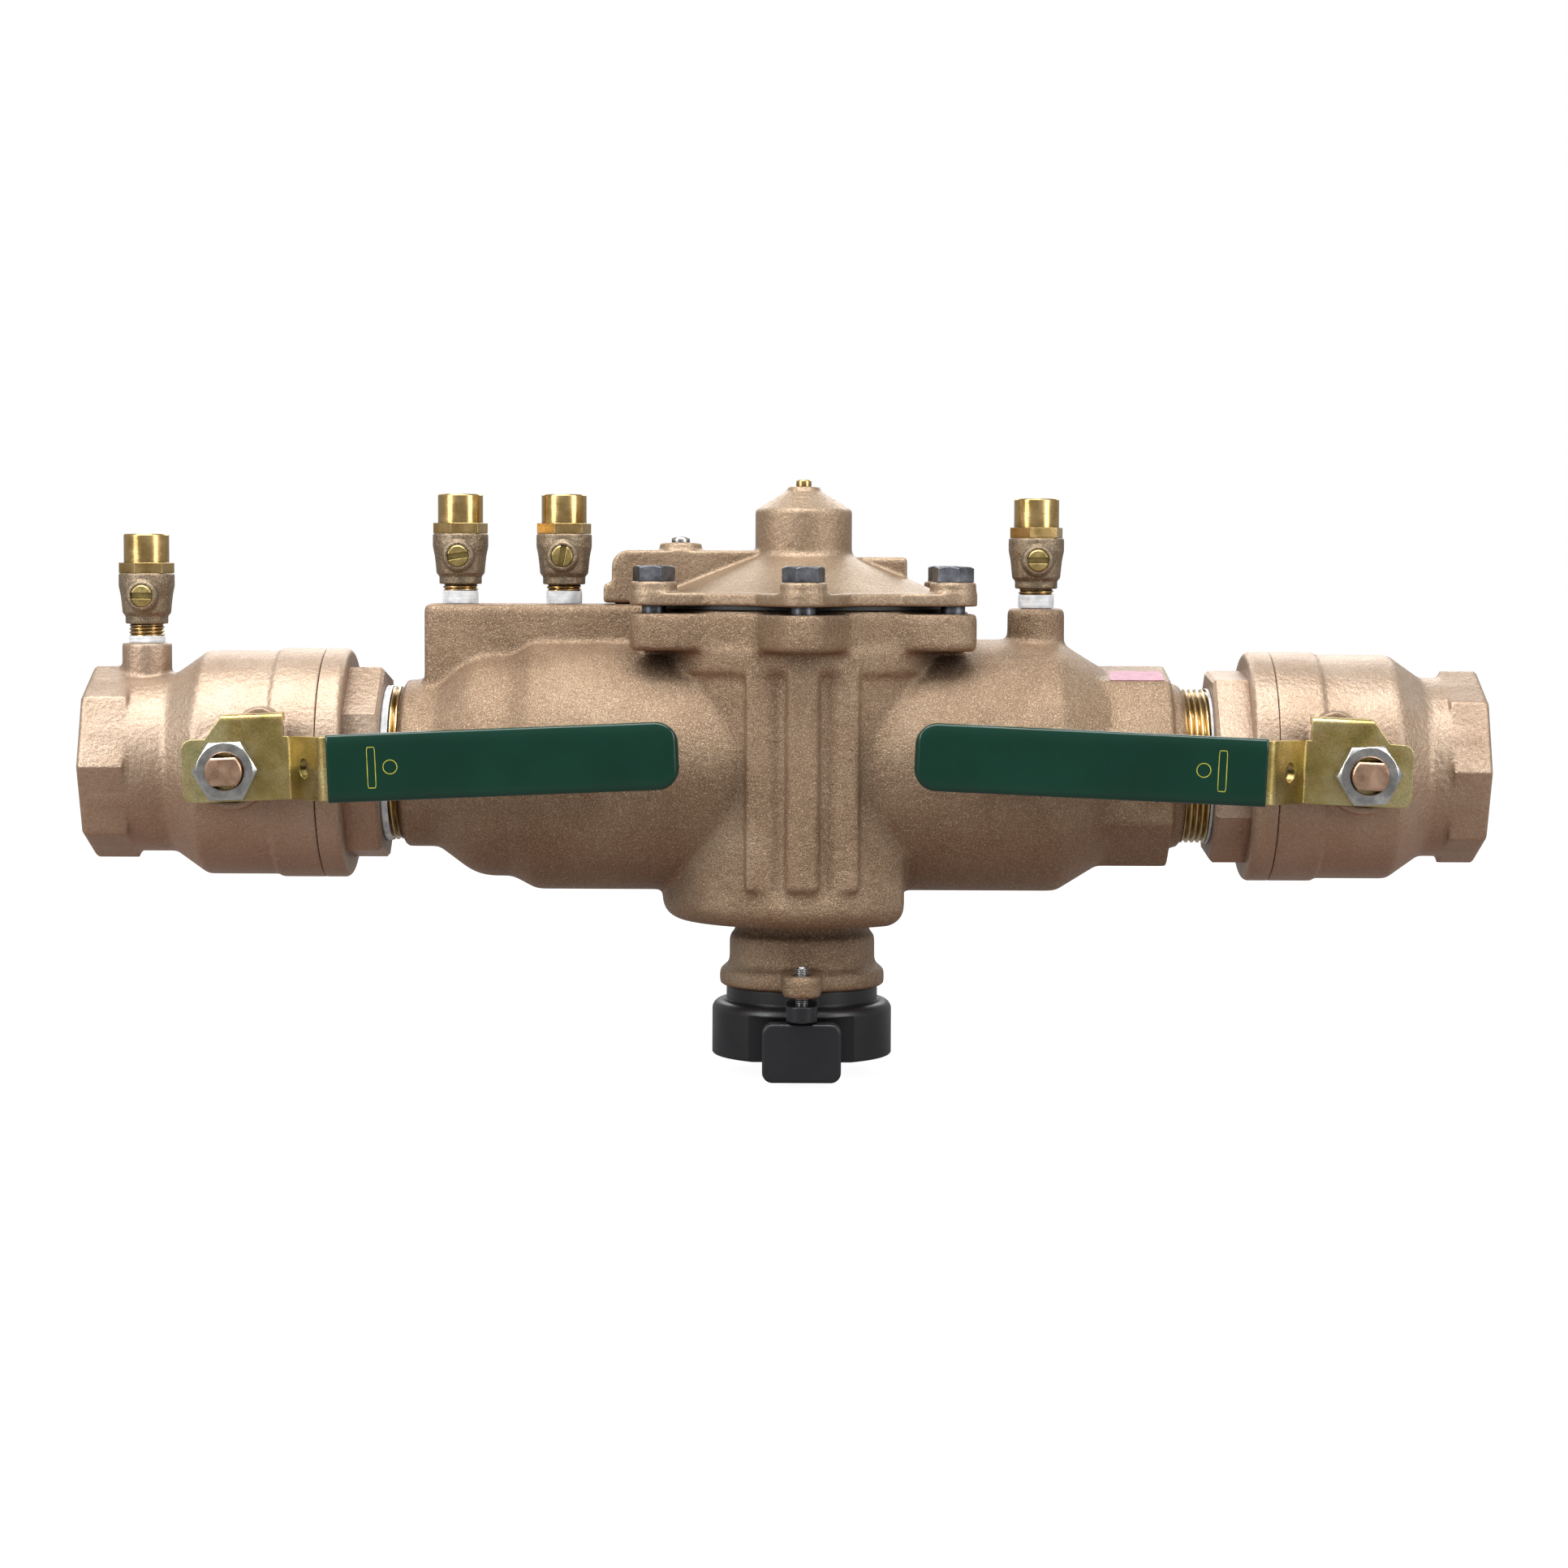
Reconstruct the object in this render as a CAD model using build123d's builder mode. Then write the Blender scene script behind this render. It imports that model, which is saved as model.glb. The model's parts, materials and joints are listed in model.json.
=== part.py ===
from build123d import *
import os
from math import atan2, cos, radians, sin, sqrt

# Two-inch reduced pressure zone backflow preventer, with its two shut-off ball valves,
# four test cocks and a flood sensor under the relief outlet.
# Millimetres, +Z up.  The origin is the centre of the inlet port's end face, the water
# runs along +X, and the handles are on the front, which is -Y.

# ---- Fits ----
thread_fit = 0.05  # radial gap of a screwed or pressed joint
running_fit = 0.08  # radial gap of a shaft in its guide
open_gap = 0.3  # gap between faces that move past each other

# ---- Line ----
face_to_face = 543.0
inlet_port_land = 11.5  # from the end of the port's thread to the ball seat
outlet_port_land = 1.6
cover_x = 278.7  # axis of the cover and of the relief valve
water_r = 25.4

# ---- Two-inch pipe thread ----
pipe_major_r = 30.15
pipe_fit_r = 29.3  # where the flanks of the two threads meet
pipe_pitch = 2.21
port_thread_length = 19.0
port_chamfer = 0.5
cap_chamfer = 1.3
inlet_shown_thread = 7.4
outlet_shown_thread = 11.3
tape_r = 30.6

# ---- Shut-off ball valves, stations measured from the stem axis ----
ball_r = 38.0
cavity_gap = 1.0
seat_inner_r = 25.9
seat_outer_r = 31.5
seat_depth = 2.694  # seat ring behind its line of contact with the ball
cone_start_in = 10.2  # from the ball's end in to the foot of the housing's cone
cone_run = 12.6
seam_at = 13.8
rim_cover = 1.1  # cap rim behind the seat
rim_width = 9.2
cap_octagon = 13.7
valve_wall = 4.9  # casting outside the ball cavity
valve_neck_r = 35.0
rear_step = 1.0
port_corner_r = 37.7
cap_corner_r = 38.8
inlet_port_hex = 17.9
outlet_port_hex = 15.0
spigot_length = 7.5

# ---- Valve stem and handle, depths measured forward of the pipe axis ----
stem_r = 7.05
stem_flat_cut = 1.75  # depth of each flat at the stem's end
stem_collar_out = 1.95
stem_out = 14.2  # stem beyond the back of the handle plate
boss_wall = 3.7  # outside the packing
boss_reach = 11.3  # beyond the ball
packing_depth = 4.0
packing_wall = 4.75
gland_depth = 3.7
plate_gap = 1.0  # boss face to handle plate
strip_thickness = 3.0
strip_width = 23.9
hub_back = 17.5
crank_start = 24.5
crank_end = 38.4
crank_rise = 19.5
grip_start = 40.3
grip_end = 171.6
grip_width = 25.6
grip_thickness = 6.6
grip_corner = 8.5
tab_height = 21.0
tab_from = -1.2
tab_to = 21.5
tab_depth = 4.5
lock_hole_r = 3.7
nut_flats = 22.0
nut_height = 8.0
handle_tilt = 2.5

# ---- Main body ----
barrel_r = 49.35
barrel_wall = 5.85
body_collar_r = 32.8
inlet_collar = 13.2
dome_length = 15.5
shoulder_drop = 5.05
shoulder_length = 13.4
slope_length = 9.6
outlet_collar = 4.8
outlet_collar_drop = 0.8
pad_length = 25.1
pad_corner_r = 40.1
cone_length = 18.5
cone_drop = 11.35
chamber_extra = 5.65  # chamber radius beyond the barrel radius
chamber_wall = 5.0
chamber_floor_wall = 4.8
collar_band = 8.4
collar_band_out = 1.6
plateau_half = 21.5
rib_half = 6.0
rib_out = 2.6
chamber_below = 10.95  # chamber floor below the barrel
chamber_corner = 8.0
chamber_flat = 39.2  # flat on the outlet side of the lower chamber

# ---- Manifold block and test cock bosses ----
block_start = 8.1  # from the inlet shoulder of the body
block_half = 12.5
block_height = 13.45  # above the barrel
block_corner = 3.0
passage_r = 2.5
zone_passage_r = 1.8
zone_passage_y = 6.5
zone_passage_below = 9.5
sense_beyond = 12.6  # sensing passage beyond the flange's valley
outlet_boss_r = 11.2
outlet_boss_height = 12.45
inlet_boss_wall = 3.25  # outside the cock's thread
inlet_boss_top = 46.8
first_cock_x = 21.1
second_cock_back = 21.4  # from the inlet shoulder
third_cock_back = 25.8  # from the sensing passage
outlet_cock_back = 56.3  # outlet shoulder back to the fourth cock

# ---- Flange and cover ----
bolt_ring_extra = 11.1  # bolt circle beyond the chamber
lug_r = 9.3
valley_extra = 0.4  # valley flats beyond the chamber
flange_drop = 3.95  # flange underside below the top of the barrel
flange_thickness = 14.5
land_height = 1.3
diaphragm_thickness = 1.5
cover_rim = 5.0
lug_boss_r = 8.9
lug_boss_height = 9.3
bolt_r = 4.76
bolt_flats = 14.3
bolt_head = 6.1
bolt_engagement = 12.0
dome_r = 18.9
dome_base = 19.3  # above the cover's underside
dome_top = 36.9
dome_cone_top = 44.6
dome_tip_r = 6.35
dome_disc = 1.5
dome_wall = 6.0
cover_wall = 5.5
arm_beyond = 6.7  # arm beyond the sensing passage
arm_top = 21.1
arm_half = 9.0
foot_beyond = 9.9
foot_top = 8.3
screw_boss_in = 7.3  # inside the flange's valley
screw_boss_r = 8.2
screw_boss_top = 24.1
bar_reach = 40.4
bar_top = 18.7
bleed_r = 3.0
bleed_height = 2.6

# ---- Relief outlet and sensor ----
neck_r = 26.2
neck_height = 5.0
skirt_r = 28.6
skirt_height = 12.6
relief_flange_r = 32.4
relief_flange_height = 8.9
relief_bore_r = 21.0
relief_travel = 8.0
relief_stem_r = 4.0
relief_disc_r = 21.0
relief_disc = 4.0
relief_spring_r = 9.0
relief_wire_r = 0.8
diaphragm_plate_r = 36.0
lug_forward = 45.0
ear_r = 6.0
ear_height = 6.0
ear_below = 3.0
lug_pad_r = 7.5
sensor_neck_r = 29.7
sensor_neck = 5.5
sensor_r = 35.3
sensor_height = 21.6
sensor_bore_r = 24.0
sensor_recess = 28.7
sensor_recess_half = 20.5
knob_width = 30.2
knob_height = 22.8
knob_thickness = 7.6
thumb_r = 2.5

# ---- Checks ----
check_land_depth = 5.5  # check bore inside the barrel's bore
check_land = 7.0
check_travel = 9.0
check_lip = 1.2
check_lip_wall = 2.2
check_disc_in = 2.0  # disc inside its holder's edge
check_disc = 3.2
check_holder_in = 5.0  # holder inside the check bore
check_holder = 2.6
check_stem_r = 5.0
check_spring_length = 20.0
check_spring_r = 12.0
check_wire_r = 1.0
check_hub = 5.0
cage_in = 2.4
check_shoulder_in = 1.8
upstream_in = 3.0

# ---- Test cocks ----
cock_gap = 7.5
cock_fit_r = 6.4
cock_crest = 0.45  # thread crest outside the line where the threads meet
cock_pitch = 1.41
cock_thread_length = 10.0
cock_body = 19.8
cock_hex = 4.0
cock_hex_flats = 18.6
cock_barrel = 11.3
cock_barrel_wall = 2.4
cock_spigot_r = 8.0
cock_rim = 0.5
cock_ball_r = 5.6
cock_bore_r = 2.6
plug_r = 4.2
plug_height = 11.0
plug_boss_r = 6.15
plug_reach = 12.6
slot_width = 2.4
slot_depth = 1.6

# ---- Places worked out from the sizes ----
seat_back = sqrt(ball_r**2 - seat_inner_r**2) + seat_depth
inlet_stem_x = port_thread_length + inlet_port_land + seat_back
outlet_stem_back = port_thread_length + outlet_port_land + seat_back
valve_body_r = ball_r + cavity_gap + valve_wall
cone_start = ball_r - cone_start_in
cone_end = cone_start - cone_run
rim_start = seat_back + rim_cover
rim_end = rim_start + rim_width
valve_tail = rim_end + cap_octagon
stem_flats = 2 * (stem_r - stem_flat_cut)
stem_collar_r = stem_r + stem_collar_out
packing_outer_r = stem_r + packing_wall
boss_r = packing_outer_r + boss_wall
boss_front = ball_r + boss_reach
plate_back = boss_front + plate_gap
stem_front = plate_back + stem_out
outlet_stem_x = face_to_face - outlet_stem_back
inlet_shoulder = inlet_stem_x + valve_tail + inlet_shown_thread
outlet_shoulder = outlet_stem_x - valve_tail - outlet_shown_thread
right_cone_end = outlet_shoulder - outlet_collar - pad_length
right_cone_start = right_cone_end - cone_length
left_barrel_start = inlet_shoulder + inlet_collar + dome_length + shoulder_length + slope_length
barrel_bore_r = barrel_r - barrel_wall
check_bore_r = barrel_bore_r - check_land_depth
check_lip_r = water_r + check_lip_wall
check_holder_r = check_bore_r - check_holder_in
check_disc_r = check_holder_r - check_disc_in
cage_outer_r = check_bore_r - cage_in
check_shoulder_r = check_bore_r - check_shoulder_in
upstream_r = check_bore_r - upstream_in
chamber_r = barrel_r + chamber_extra
chamber_bore_r = chamber_r - chamber_wall
chamber_floor = -barrel_r - chamber_below
flange_bottom = barrel_r - flange_drop
flange_top = flange_bottom + flange_thickness
land_top = flange_top + land_height
cover_bottom = land_top + diaphragm_thickness
bolt_ring_r = chamber_r + bolt_ring_extra
valley_r = chamber_r + valley_extra
sense_back = valley_r + sense_beyond
arm_reach = sense_back + arm_beyond
foot_reach = sense_back + foot_beyond
screw_boss_at = valley_r - screw_boss_in
block_top = barrel_r + block_height
cock_thread_r = cock_fit_r + cock_crest
cock_barrel_r = cock_fit_r + cock_barrel_wall
inlet_boss_r = cock_fit_r + inlet_boss_wall
boss_tops = [inlet_boss_top, block_top, block_top, barrel_r + outlet_boss_height]
cock_xs = [
    first_cock_x,
    inlet_shoulder + second_cock_back,
    cover_x - sense_back - third_cock_back,
    outlet_shoulder - outlet_cock_back,
]
neck_bottom = chamber_floor - neck_height
skirt_bottom = neck_bottom - skirt_height
relief_face = skirt_bottom - relief_flange_height
sensor_top = relief_face
sensor_bottom = sensor_top - sensor_neck - sensor_height
ear_top = sensor_top - ear_below
knob_top = ear_top - ear_height - 0.6
chamber_inside_floor = chamber_floor + chamber_floor_wall
foot_bottom = block_top + 0.4
sense_x = cover_x - sense_back
check_1_x = cover_x - chamber_bore_r - 10.0
check_2_x = cover_x + chamber_bore_r + 2.0
cap_face_in = inlet_stem_x + valve_tail
cap_face_out = outlet_stem_x - valve_tail
seat_lip_top = chamber_inside_floor + 4.5
relief_disc_bottom = seat_lip_top + relief_travel + 0.05
front = Plane.XZ  # local x is +X, local y is +Z, normal is -Y

os.makedirs("parts", exist_ok=True)


def save(part, name):
    """Label one finished piece and write its STEP file."""
    part.label = name
    export_step(part, f"parts/{name}.step")


def thread_outline(start, end, root_r, crest_r, pitch):
    """Points of a run of ring threads from one station to the next."""
    count = max(1, round((end - start) / pitch))
    step = (end - start) / count
    points = []
    for turn in range(count):
        points.append((start + turn * step, root_r))
        points.append((start + (turn + 0.35) * step, crest_r))
        points.append((start + (turn + 0.65) * step, crest_r))
    points.append((end, root_r))
    return points


def octagon(corner_r, corner_angle):
    """Octagon in the YZ plane with one corner at this angle above the front horizontal."""
    return RegularPolygon(corner_r, 8, rotation=180 - corner_angle)


# ======== Shut-off ball valves ========


def valve_body(name, stem_x, way, port_length, octagon_length, cock_boss):
    """Cast body: octagon port, neck, ball housing, stem boss and, on the inlet, a cock boss.
    way is +1 where the tail points along +X and -1 where it points along -X."""
    face = stem_x - way * port_length
    cavity_r = ball_r + cavity_gap
    pocket_r = seat_outer_r + thread_fit
    pocket_end = sqrt(cavity_r**2 - pocket_r**2)
    with BuildPart() as body:
        with BuildSketch(Plane.XZ):
            with BuildLine():
                Polyline(
                    (face + way * 3.0, 0),
                    (face + way * 3.0, valve_neck_r),
                    (stem_x - way * cone_start, valve_neck_r),
                    (stem_x - way * cone_end, valve_body_r),
                    (stem_x + way * seam_at, valve_body_r),
                    (stem_x + way * seam_at, valve_body_r + rear_step),
                    (stem_x + way * rim_start, valve_body_r + rear_step),
                    (stem_x + way * rim_start, 0),
                    close=True,
                )
            make_face()
        revolve(axis=Axis.X)
        bends = body.edges().filter_by(GeomType.CIRCLE)
        bends = bends.filter_by_position(Axis.X, stem_x - cone_start - 0.1, stem_x + cone_start + 0.1)
        bends = bends.sort_by(lambda edge: way * edge.center().X)
        fillet(bends[0:2], 5.0)
        with BuildSketch(Plane.YZ.offset(face)):
            octagon(port_corner_r, 0)
        extrude(amount=way * octagon_length)
        rims = body.edges().filter_by(GeomType.LINE)
        chamfer(rims.filter_by_position(Axis.X, face - 0.01, face + 0.01), 1.2)
        with BuildSketch(front.offset(ball_r)):
            with Locations((stem_x, 0)):
                Circle(boss_r)
        extrude(amount=boss_front - ball_r)
        with BuildSketch(front.offset(ball_r)):  # stop pad behind the tab
            with Locations((stem_x + way * 10.5, 14.5)):
                Circle(9.0)
        extrude(amount=boss_front - ball_r - tab_depth)
        if cock_boss:
            with BuildSketch(Plane.XY):
                with Locations((cock_xs[0], 0)):
                    Circle(inlet_boss_r)
            extrude(amount=inlet_boss_top)
        # Waterway, front seat pocket and ball cavity
        with BuildSketch(Plane.XZ):
            with BuildLine():
                Polyline(
                    (face - way, 0),
                    (face - way, pipe_fit_r + port_chamfer),
                    (face, pipe_fit_r + port_chamfer),
                    (face + way * port_chamfer, pipe_fit_r),
                    (face + way * port_thread_length, pipe_fit_r),
                    (face + way * port_thread_length, water_r),
                    (stem_x - way * seat_back, water_r),
                    (stem_x - way * seat_back, pocket_r),
                    (stem_x - way * pocket_end, pocket_r),
                )
                middle = atan2(pocket_r + cavity_r, pocket_end)
                ThreePointArc(
                    (stem_x - way * pocket_end, pocket_r),
                    (stem_x - way * cavity_r * cos(middle), cavity_r * sin(middle)),
                    (stem_x, cavity_r),
                )
                Polyline(
                    (stem_x, cavity_r),
                    (stem_x + way * (rim_start + 1), cavity_r),
                    (stem_x + way * (rim_start + 1), 0),
                    (face - way, 0),
                )
            make_face()
        revolve(axis=Axis.X, mode=Mode.SUBTRACT)
        # Stem bore, collar seat and packing box
        with BuildSketch(front):
            with Locations((stem_x, 0)):
                Circle(stem_r + running_fit)
        extrude(amount=boss_front + 1, mode=Mode.SUBTRACT)
        with BuildSketch(front):
            with Locations((stem_x, 0)):
                Circle(stem_collar_r + running_fit)
        extrude(amount=ball_r + 2.6, mode=Mode.SUBTRACT)
        with BuildSketch(front.offset(boss_front - gland_depth - packing_depth)):
            with Locations((stem_x, 0)):
                Circle(packing_outer_r)
        extrude(amount=gland_depth + packing_depth + 1, mode=Mode.SUBTRACT)
        if cock_boss:
            with BuildSketch(Plane.XY.offset(inlet_boss_top - cock_thread_length - 0.5)):
                with Locations((cock_xs[0], 0)):
                    Circle(cock_fit_r + thread_fit)
            extrude(amount=cock_thread_length + 1.5, mode=Mode.SUBTRACT)
            with BuildSketch(Plane.XY):
                with Locations((cock_xs[0], 0)):
                    Circle(cock_bore_r)
            extrude(amount=inlet_boss_top, mode=Mode.SUBTRACT)
    save(body.part, name + "_valve_body")


def end_cap(name, stem_x, way, corner_angle):
    """Screwed tail piece: spigot into the body, round rim, octagon and female pipe thread."""
    face = stem_x + way * valve_tail
    spigot_r = ball_r + cavity_gap - thread_fit
    with BuildPart() as cap:
        with BuildSketch(Plane.XZ):
            with BuildLine():
                Polyline(
                    (stem_x + way * (rim_start - spigot_length), 0),
                    (stem_x + way * (rim_start - spigot_length), spigot_r),
                    (stem_x + way * rim_start, spigot_r),
                    (stem_x + way * rim_start, valve_body_r + rear_step),
                    (stem_x + way * rim_end, valve_body_r + rear_step),
                    (stem_x + way * rim_end, 0),
                    close=True,
                )
            make_face()
        revolve(axis=Axis.X)
        rim_edge = cap.edges().filter_by(GeomType.CIRCLE)
        fillet(rim_edge.sort_by(lambda edge: way * edge.center().X)[-1], 2.5)
        with BuildSketch(Plane.YZ.offset(stem_x + way * (rim_end - 2))):
            octagon(cap_corner_r, corner_angle)
        extrude(amount=way * (valve_tail - rim_end + 2))
        rims = cap.edges().filter_by(GeomType.LINE)
        chamfer(rims.filter_by_position(Axis.X, face - 0.01, face + 0.01), cap_chamfer)
        with BuildSketch(Plane.XZ):
            with BuildLine():
                Polyline(
                    (stem_x + way * 10, 0),
                    (stem_x + way * 10, seat_outer_r + thread_fit),
                    (stem_x + way * seat_back, seat_outer_r + thread_fit),
                    (stem_x + way * seat_back, water_r),
                    (face - way * (port_thread_length - 2), water_r),
                    (face - way * (port_thread_length - 2), pipe_fit_r),
                    (face - way * cap_chamfer, pipe_fit_r),
                    (face, pipe_fit_r + cap_chamfer),
                    (face + way, pipe_fit_r + cap_chamfer),
                    (face + way, 0),
                    close=True,
                )
            make_face()
        revolve(axis=Axis.X, mode=Mode.SUBTRACT)
    save(cap.part, name + "_end_cap")


def ball_seats(name, stem_x):
    """Two soft seat rings, hollowed to the ball with a small gap."""
    with BuildPart() as seats:
        with BuildSketch(Plane.XZ):
            with Locations((stem_x, (seat_inner_r + seat_outer_r) / 2)):
                Rectangle(2 * seat_back, seat_outer_r - seat_inner_r)
            with Locations((stem_x, 0)):
                Circle(ball_r + open_gap, mode=Mode.SUBTRACT)
        revolve(axis=Axis.X)
    save(seats.part, name + "_ball_seats")


def stem_seals(name, stem_x):
    """Packing ring and the screwed gland nut that presses it down the stem."""
    packing_front = boss_front - gland_depth
    with BuildPart() as packing:
        with BuildSketch(front.offset(packing_front - packing_depth)):
            with Locations((stem_x, 0)):
                Circle(packing_outer_r - thread_fit)
                Circle(stem_r + running_fit, mode=Mode.SUBTRACT)
        extrude(amount=packing_depth)
    save(packing.part, name + "_stem_packing")
    with BuildPart() as gland:
        with BuildSketch(front.offset(packing_front)):
            with Locations((stem_x, 0)):
                Circle(packing_outer_r - thread_fit)
                Circle(stem_r + running_fit, mode=Mode.SUBTRACT)
        extrude(amount=gland_depth)
        with BuildSketch(front.offset(boss_front - 1.4)):
            with Locations((stem_x, 0)):
                Rectangle(2 * packing_outer_r, 3.0)
        extrude(amount=1.4, mode=Mode.SUBTRACT)
    save(gland.part, name + "_gland_nut")


def valve_ball(name, stem_x):
    """Bored ball with the slot that takes the stem's tang."""
    with BuildPart() as ball:
        with Locations((stem_x, 0, 0)):
            Sphere(ball_r)
        with BuildSketch(Plane.YZ.offset(stem_x - ball_r)):
            Circle(water_r)
        extrude(amount=2 * ball_r, mode=Mode.SUBTRACT)
        with BuildSketch(front.offset(ball_r - 5.5)):
            with Locations((stem_x, 0)):
                Rectangle(2 * stem_collar_r, 8.2)
        extrude(amount=6, mode=Mode.SUBTRACT)
        fillet(ball.edges().filter_by(GeomType.CIRCLE).filter_by(Plane.YZ), 1.0)
    save(ball.part, name + "_ball")


def valve_stem(name, stem_x, handle_plane):
    """Blow-out-proof stem: tang, collar, round shank and a flatted outer end."""
    with BuildPart() as stem:
        with BuildSketch(front.offset(ball_r - 5.3)):
            with Locations((stem_x, 0)):
                Rectangle(2 * stem_collar_r - 2.4, 8.0)
        extrude(amount=6)
        with BuildSketch(front.offset(ball_r + 0.3)):
            with Locations((stem_x, 0)):
                Circle(stem_collar_r)
        extrude(amount=2.2)
        with BuildSketch(front.offset(ball_r + 0.3)):
            with Locations((stem_x, 0)):
                Circle(stem_r)
        extrude(amount=stem_front - ball_r - 0.3)
        for side in (-1, 1):
            with BuildSketch(handle_plane.offset(plate_back - 0.2)):
                with Locations((0, side * (stem_flats / 2 + 5))):
                    Rectangle(30, 10)
            extrude(amount=stem_front, mode=Mode.SUBTRACT)
        tip = stem.faces().sort_by(Axis.Y)[0]
        chamfer(tip.edges(), 0.6)
    save(stem.part, name + "_stem")


def valve_handle(name, handle_plane, up):
    """Bent steel strip: hub plate with a stop tab, crank with a lock hole, arm in the grip.
    up is +1 where the handle plane's own y axis points up and -1 where it points down."""
    plan = Plane(handle_plane.origin, x_dir=handle_plane.x_dir, z_dir=handle_plane.y_dir)
    # In the plan sketch, +x runs along the arm and the depth forward of the pipe axis is -y.
    back = strip_thickness / 2 + plate_back
    arm = back + crank_rise
    with BuildPart() as handle:
        with BuildSketch(plan):
            with BuildLine():
                FilletPolyline(
                    (-hub_back, -back),
                    (crank_start, -back),
                    (crank_end, -arm),
                    (grip_end - 6, -arm),
                    radius=3.0,
                )
            trace(line_width=strip_thickness)
        extrude(amount=strip_width / 2, both=True)
        corners = handle.edges().filter_by(Axis((0, 0, 0), tuple(handle_plane.z_dir)))
        ends = corners.sort_by(lambda edge: (edge.center() - handle_plane.origin).dot(handle_plane.x_dir))
        fillet(ends[0:2], 4.0)
        fillet(ends[-2:], 6.0)
        # Stop tab above the hub, bent back towards the body
        with BuildSketch(handle_plane.offset(plate_back)):
            with BuildLine():
                Polyline(
                    (tab_from - 8, up * (strip_width / 2 - 1)),
                    (tab_from, up * tab_height),
                    (tab_to, up * tab_height),
                    (tab_to, up * (strip_width / 2 - 1)),
                    close=True,
                )
            make_face()
        extrude(amount=strip_thickness)
        with BuildSketch(handle_plane.offset(plate_back + strip_thickness)):
            with Locations(((tab_from + tab_to) / 2, up * (tab_height - strip_thickness / 2))):
                Rectangle(tab_to - tab_from, strip_thickness)
        extrude(amount=-strip_thickness - tab_depth)
        bends = handle.edges().filter_by(Axis((0, 0, 0), tuple(handle_plane.x_dir)))
        outer = bends.sort_by(lambda edge: up * (edge.center() - handle_plane.origin).dot(handle_plane.y_dir))
        outer = outer[-2:].sort_by(Axis.Y)
        fillet(outer[0], 2.5)
        # Flatted hole for the stem
        with BuildSketch(handle_plane.offset(plate_back - 1)):
            Circle(stem_r + thread_fit)
            for side in (-1, 1):
                with Locations((0, side * (stem_flats / 2 + thread_fit + 5))):
                    Rectangle(30, 10, mode=Mode.SUBTRACT)
        extrude(amount=strip_thickness + 2, mode=Mode.SUBTRACT)
        # Lock hole square to the crank
        crank_angle = atan2(crank_rise, crank_end - crank_start)
        across = handle_plane.z_dir * cos(crank_angle) - handle_plane.x_dir * sin(crank_angle)
        centre = handle_plane.origin + handle_plane.x_dir * ((crank_start + crank_end) / 2)
        centre = centre + handle_plane.z_dir * (back + crank_rise / 2)
        with BuildSketch(Plane(centre, x_dir=handle_plane.y_dir, z_dir=across)):
            Circle(lock_hole_r)
        extrude(amount=strip_thickness, both=True, mode=Mode.SUBTRACT)
    save(handle.part, name + "_handle")


def handle_grip(name, handle_plane):
    """Dipped vinyl sleeve with a closed round-cornered tip."""
    middle = plate_back + strip_thickness / 2 + crank_rise
    with BuildPart() as grip:
        with BuildSketch(handle_plane.offset(middle - grip_thickness / 2)):
            with Locations(((grip_start + grip_end) / 2, 0)):
                Rectangle(grip_end - grip_start, grip_width)
        extrude(amount=grip_thickness)
        along = Axis((0, 0, 0), tuple(handle_plane.z_dir))
        corners = grip.edges().filter_by(along)
        far = corners.sort_by(lambda edge: (edge.center() - handle_plane.origin).dot(handle_plane.x_dir))
        fillet(far[-2:], grip_corner)
        flat = grip.faces().filter_by(along)
        fillet(flat.edges(), 2.0)
        with BuildSketch(handle_plane.offset(middle - strip_thickness / 2)):
            with Locations(((grip_start + grip_end - 6) / 2 - 2, 0)):
                Rectangle(grip_end - 6 - grip_start + 4, strip_width)
        extrude(amount=strip_thickness, mode=Mode.SUBTRACT)
    save(grip.part, name + "_grip")


def handle_nut(name, handle_plane):
    """Hexagon nut that holds the handle on the stem."""
    with BuildPart() as nut:
        with BuildSketch(handle_plane.offset(plate_back + strip_thickness)):
            RegularPolygon(nut_flats / 2, 6, major_radius=False)
        extrude(amount=nut_height)
        with BuildSketch(handle_plane.offset(plate_back + strip_thickness)):
            Circle(nut_flats / 2 * 1.07)
        extrude(amount=nut_height, mode=Mode.INTERSECT)
        with BuildSketch(handle_plane.offset(plate_back + strip_thickness)):
            Circle(stem_r + thread_fit)
        extrude(amount=nut_height + 1, mode=Mode.SUBTRACT)
    save(nut.part, name + "_handle_nut")


def ball_valve(name, stem_x, way, port_length, octagon_length, cap_angle, cock_boss):
    """All ten pieces of one shut-off valve."""
    tilt = radians(handle_tilt)
    along = (way * cos(tilt), 0, sin(tilt))
    handle_plane = Plane((stem_x, 0, 0), x_dir=along, z_dir=(0, -1, 0))
    valve_body(name, stem_x, way, port_length, octagon_length, cock_boss)
    end_cap(name, stem_x, way, cap_angle)
    ball_seats(name, stem_x)
    stem_seals(name, stem_x)
    valve_ball(name, stem_x)
    valve_stem(name, stem_x, handle_plane)
    valve_handle(name, handle_plane, way)
    handle_grip(name, handle_plane)
    handle_nut(name, handle_plane)


ball_valve("inlet", inlet_stem_x, 1, inlet_stem_x, inlet_port_hex, 32, True)
ball_valve("outlet", outlet_stem_x, -1, outlet_stem_back, outlet_port_hex, 17.6, False)


# ======== Main body ========

cover_axis = Axis((cover_x, 0, 0), (0, 0, 1))
cover_front = Plane((cover_x, 0, 0), x_dir=(1, 0, 0), z_dir=(0, -1, 0))  # local (r, z)


def level(z):
    """Horizontal plane at height z, centred on the cover axis."""
    return Plane((cover_x, 0, z))


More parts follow.
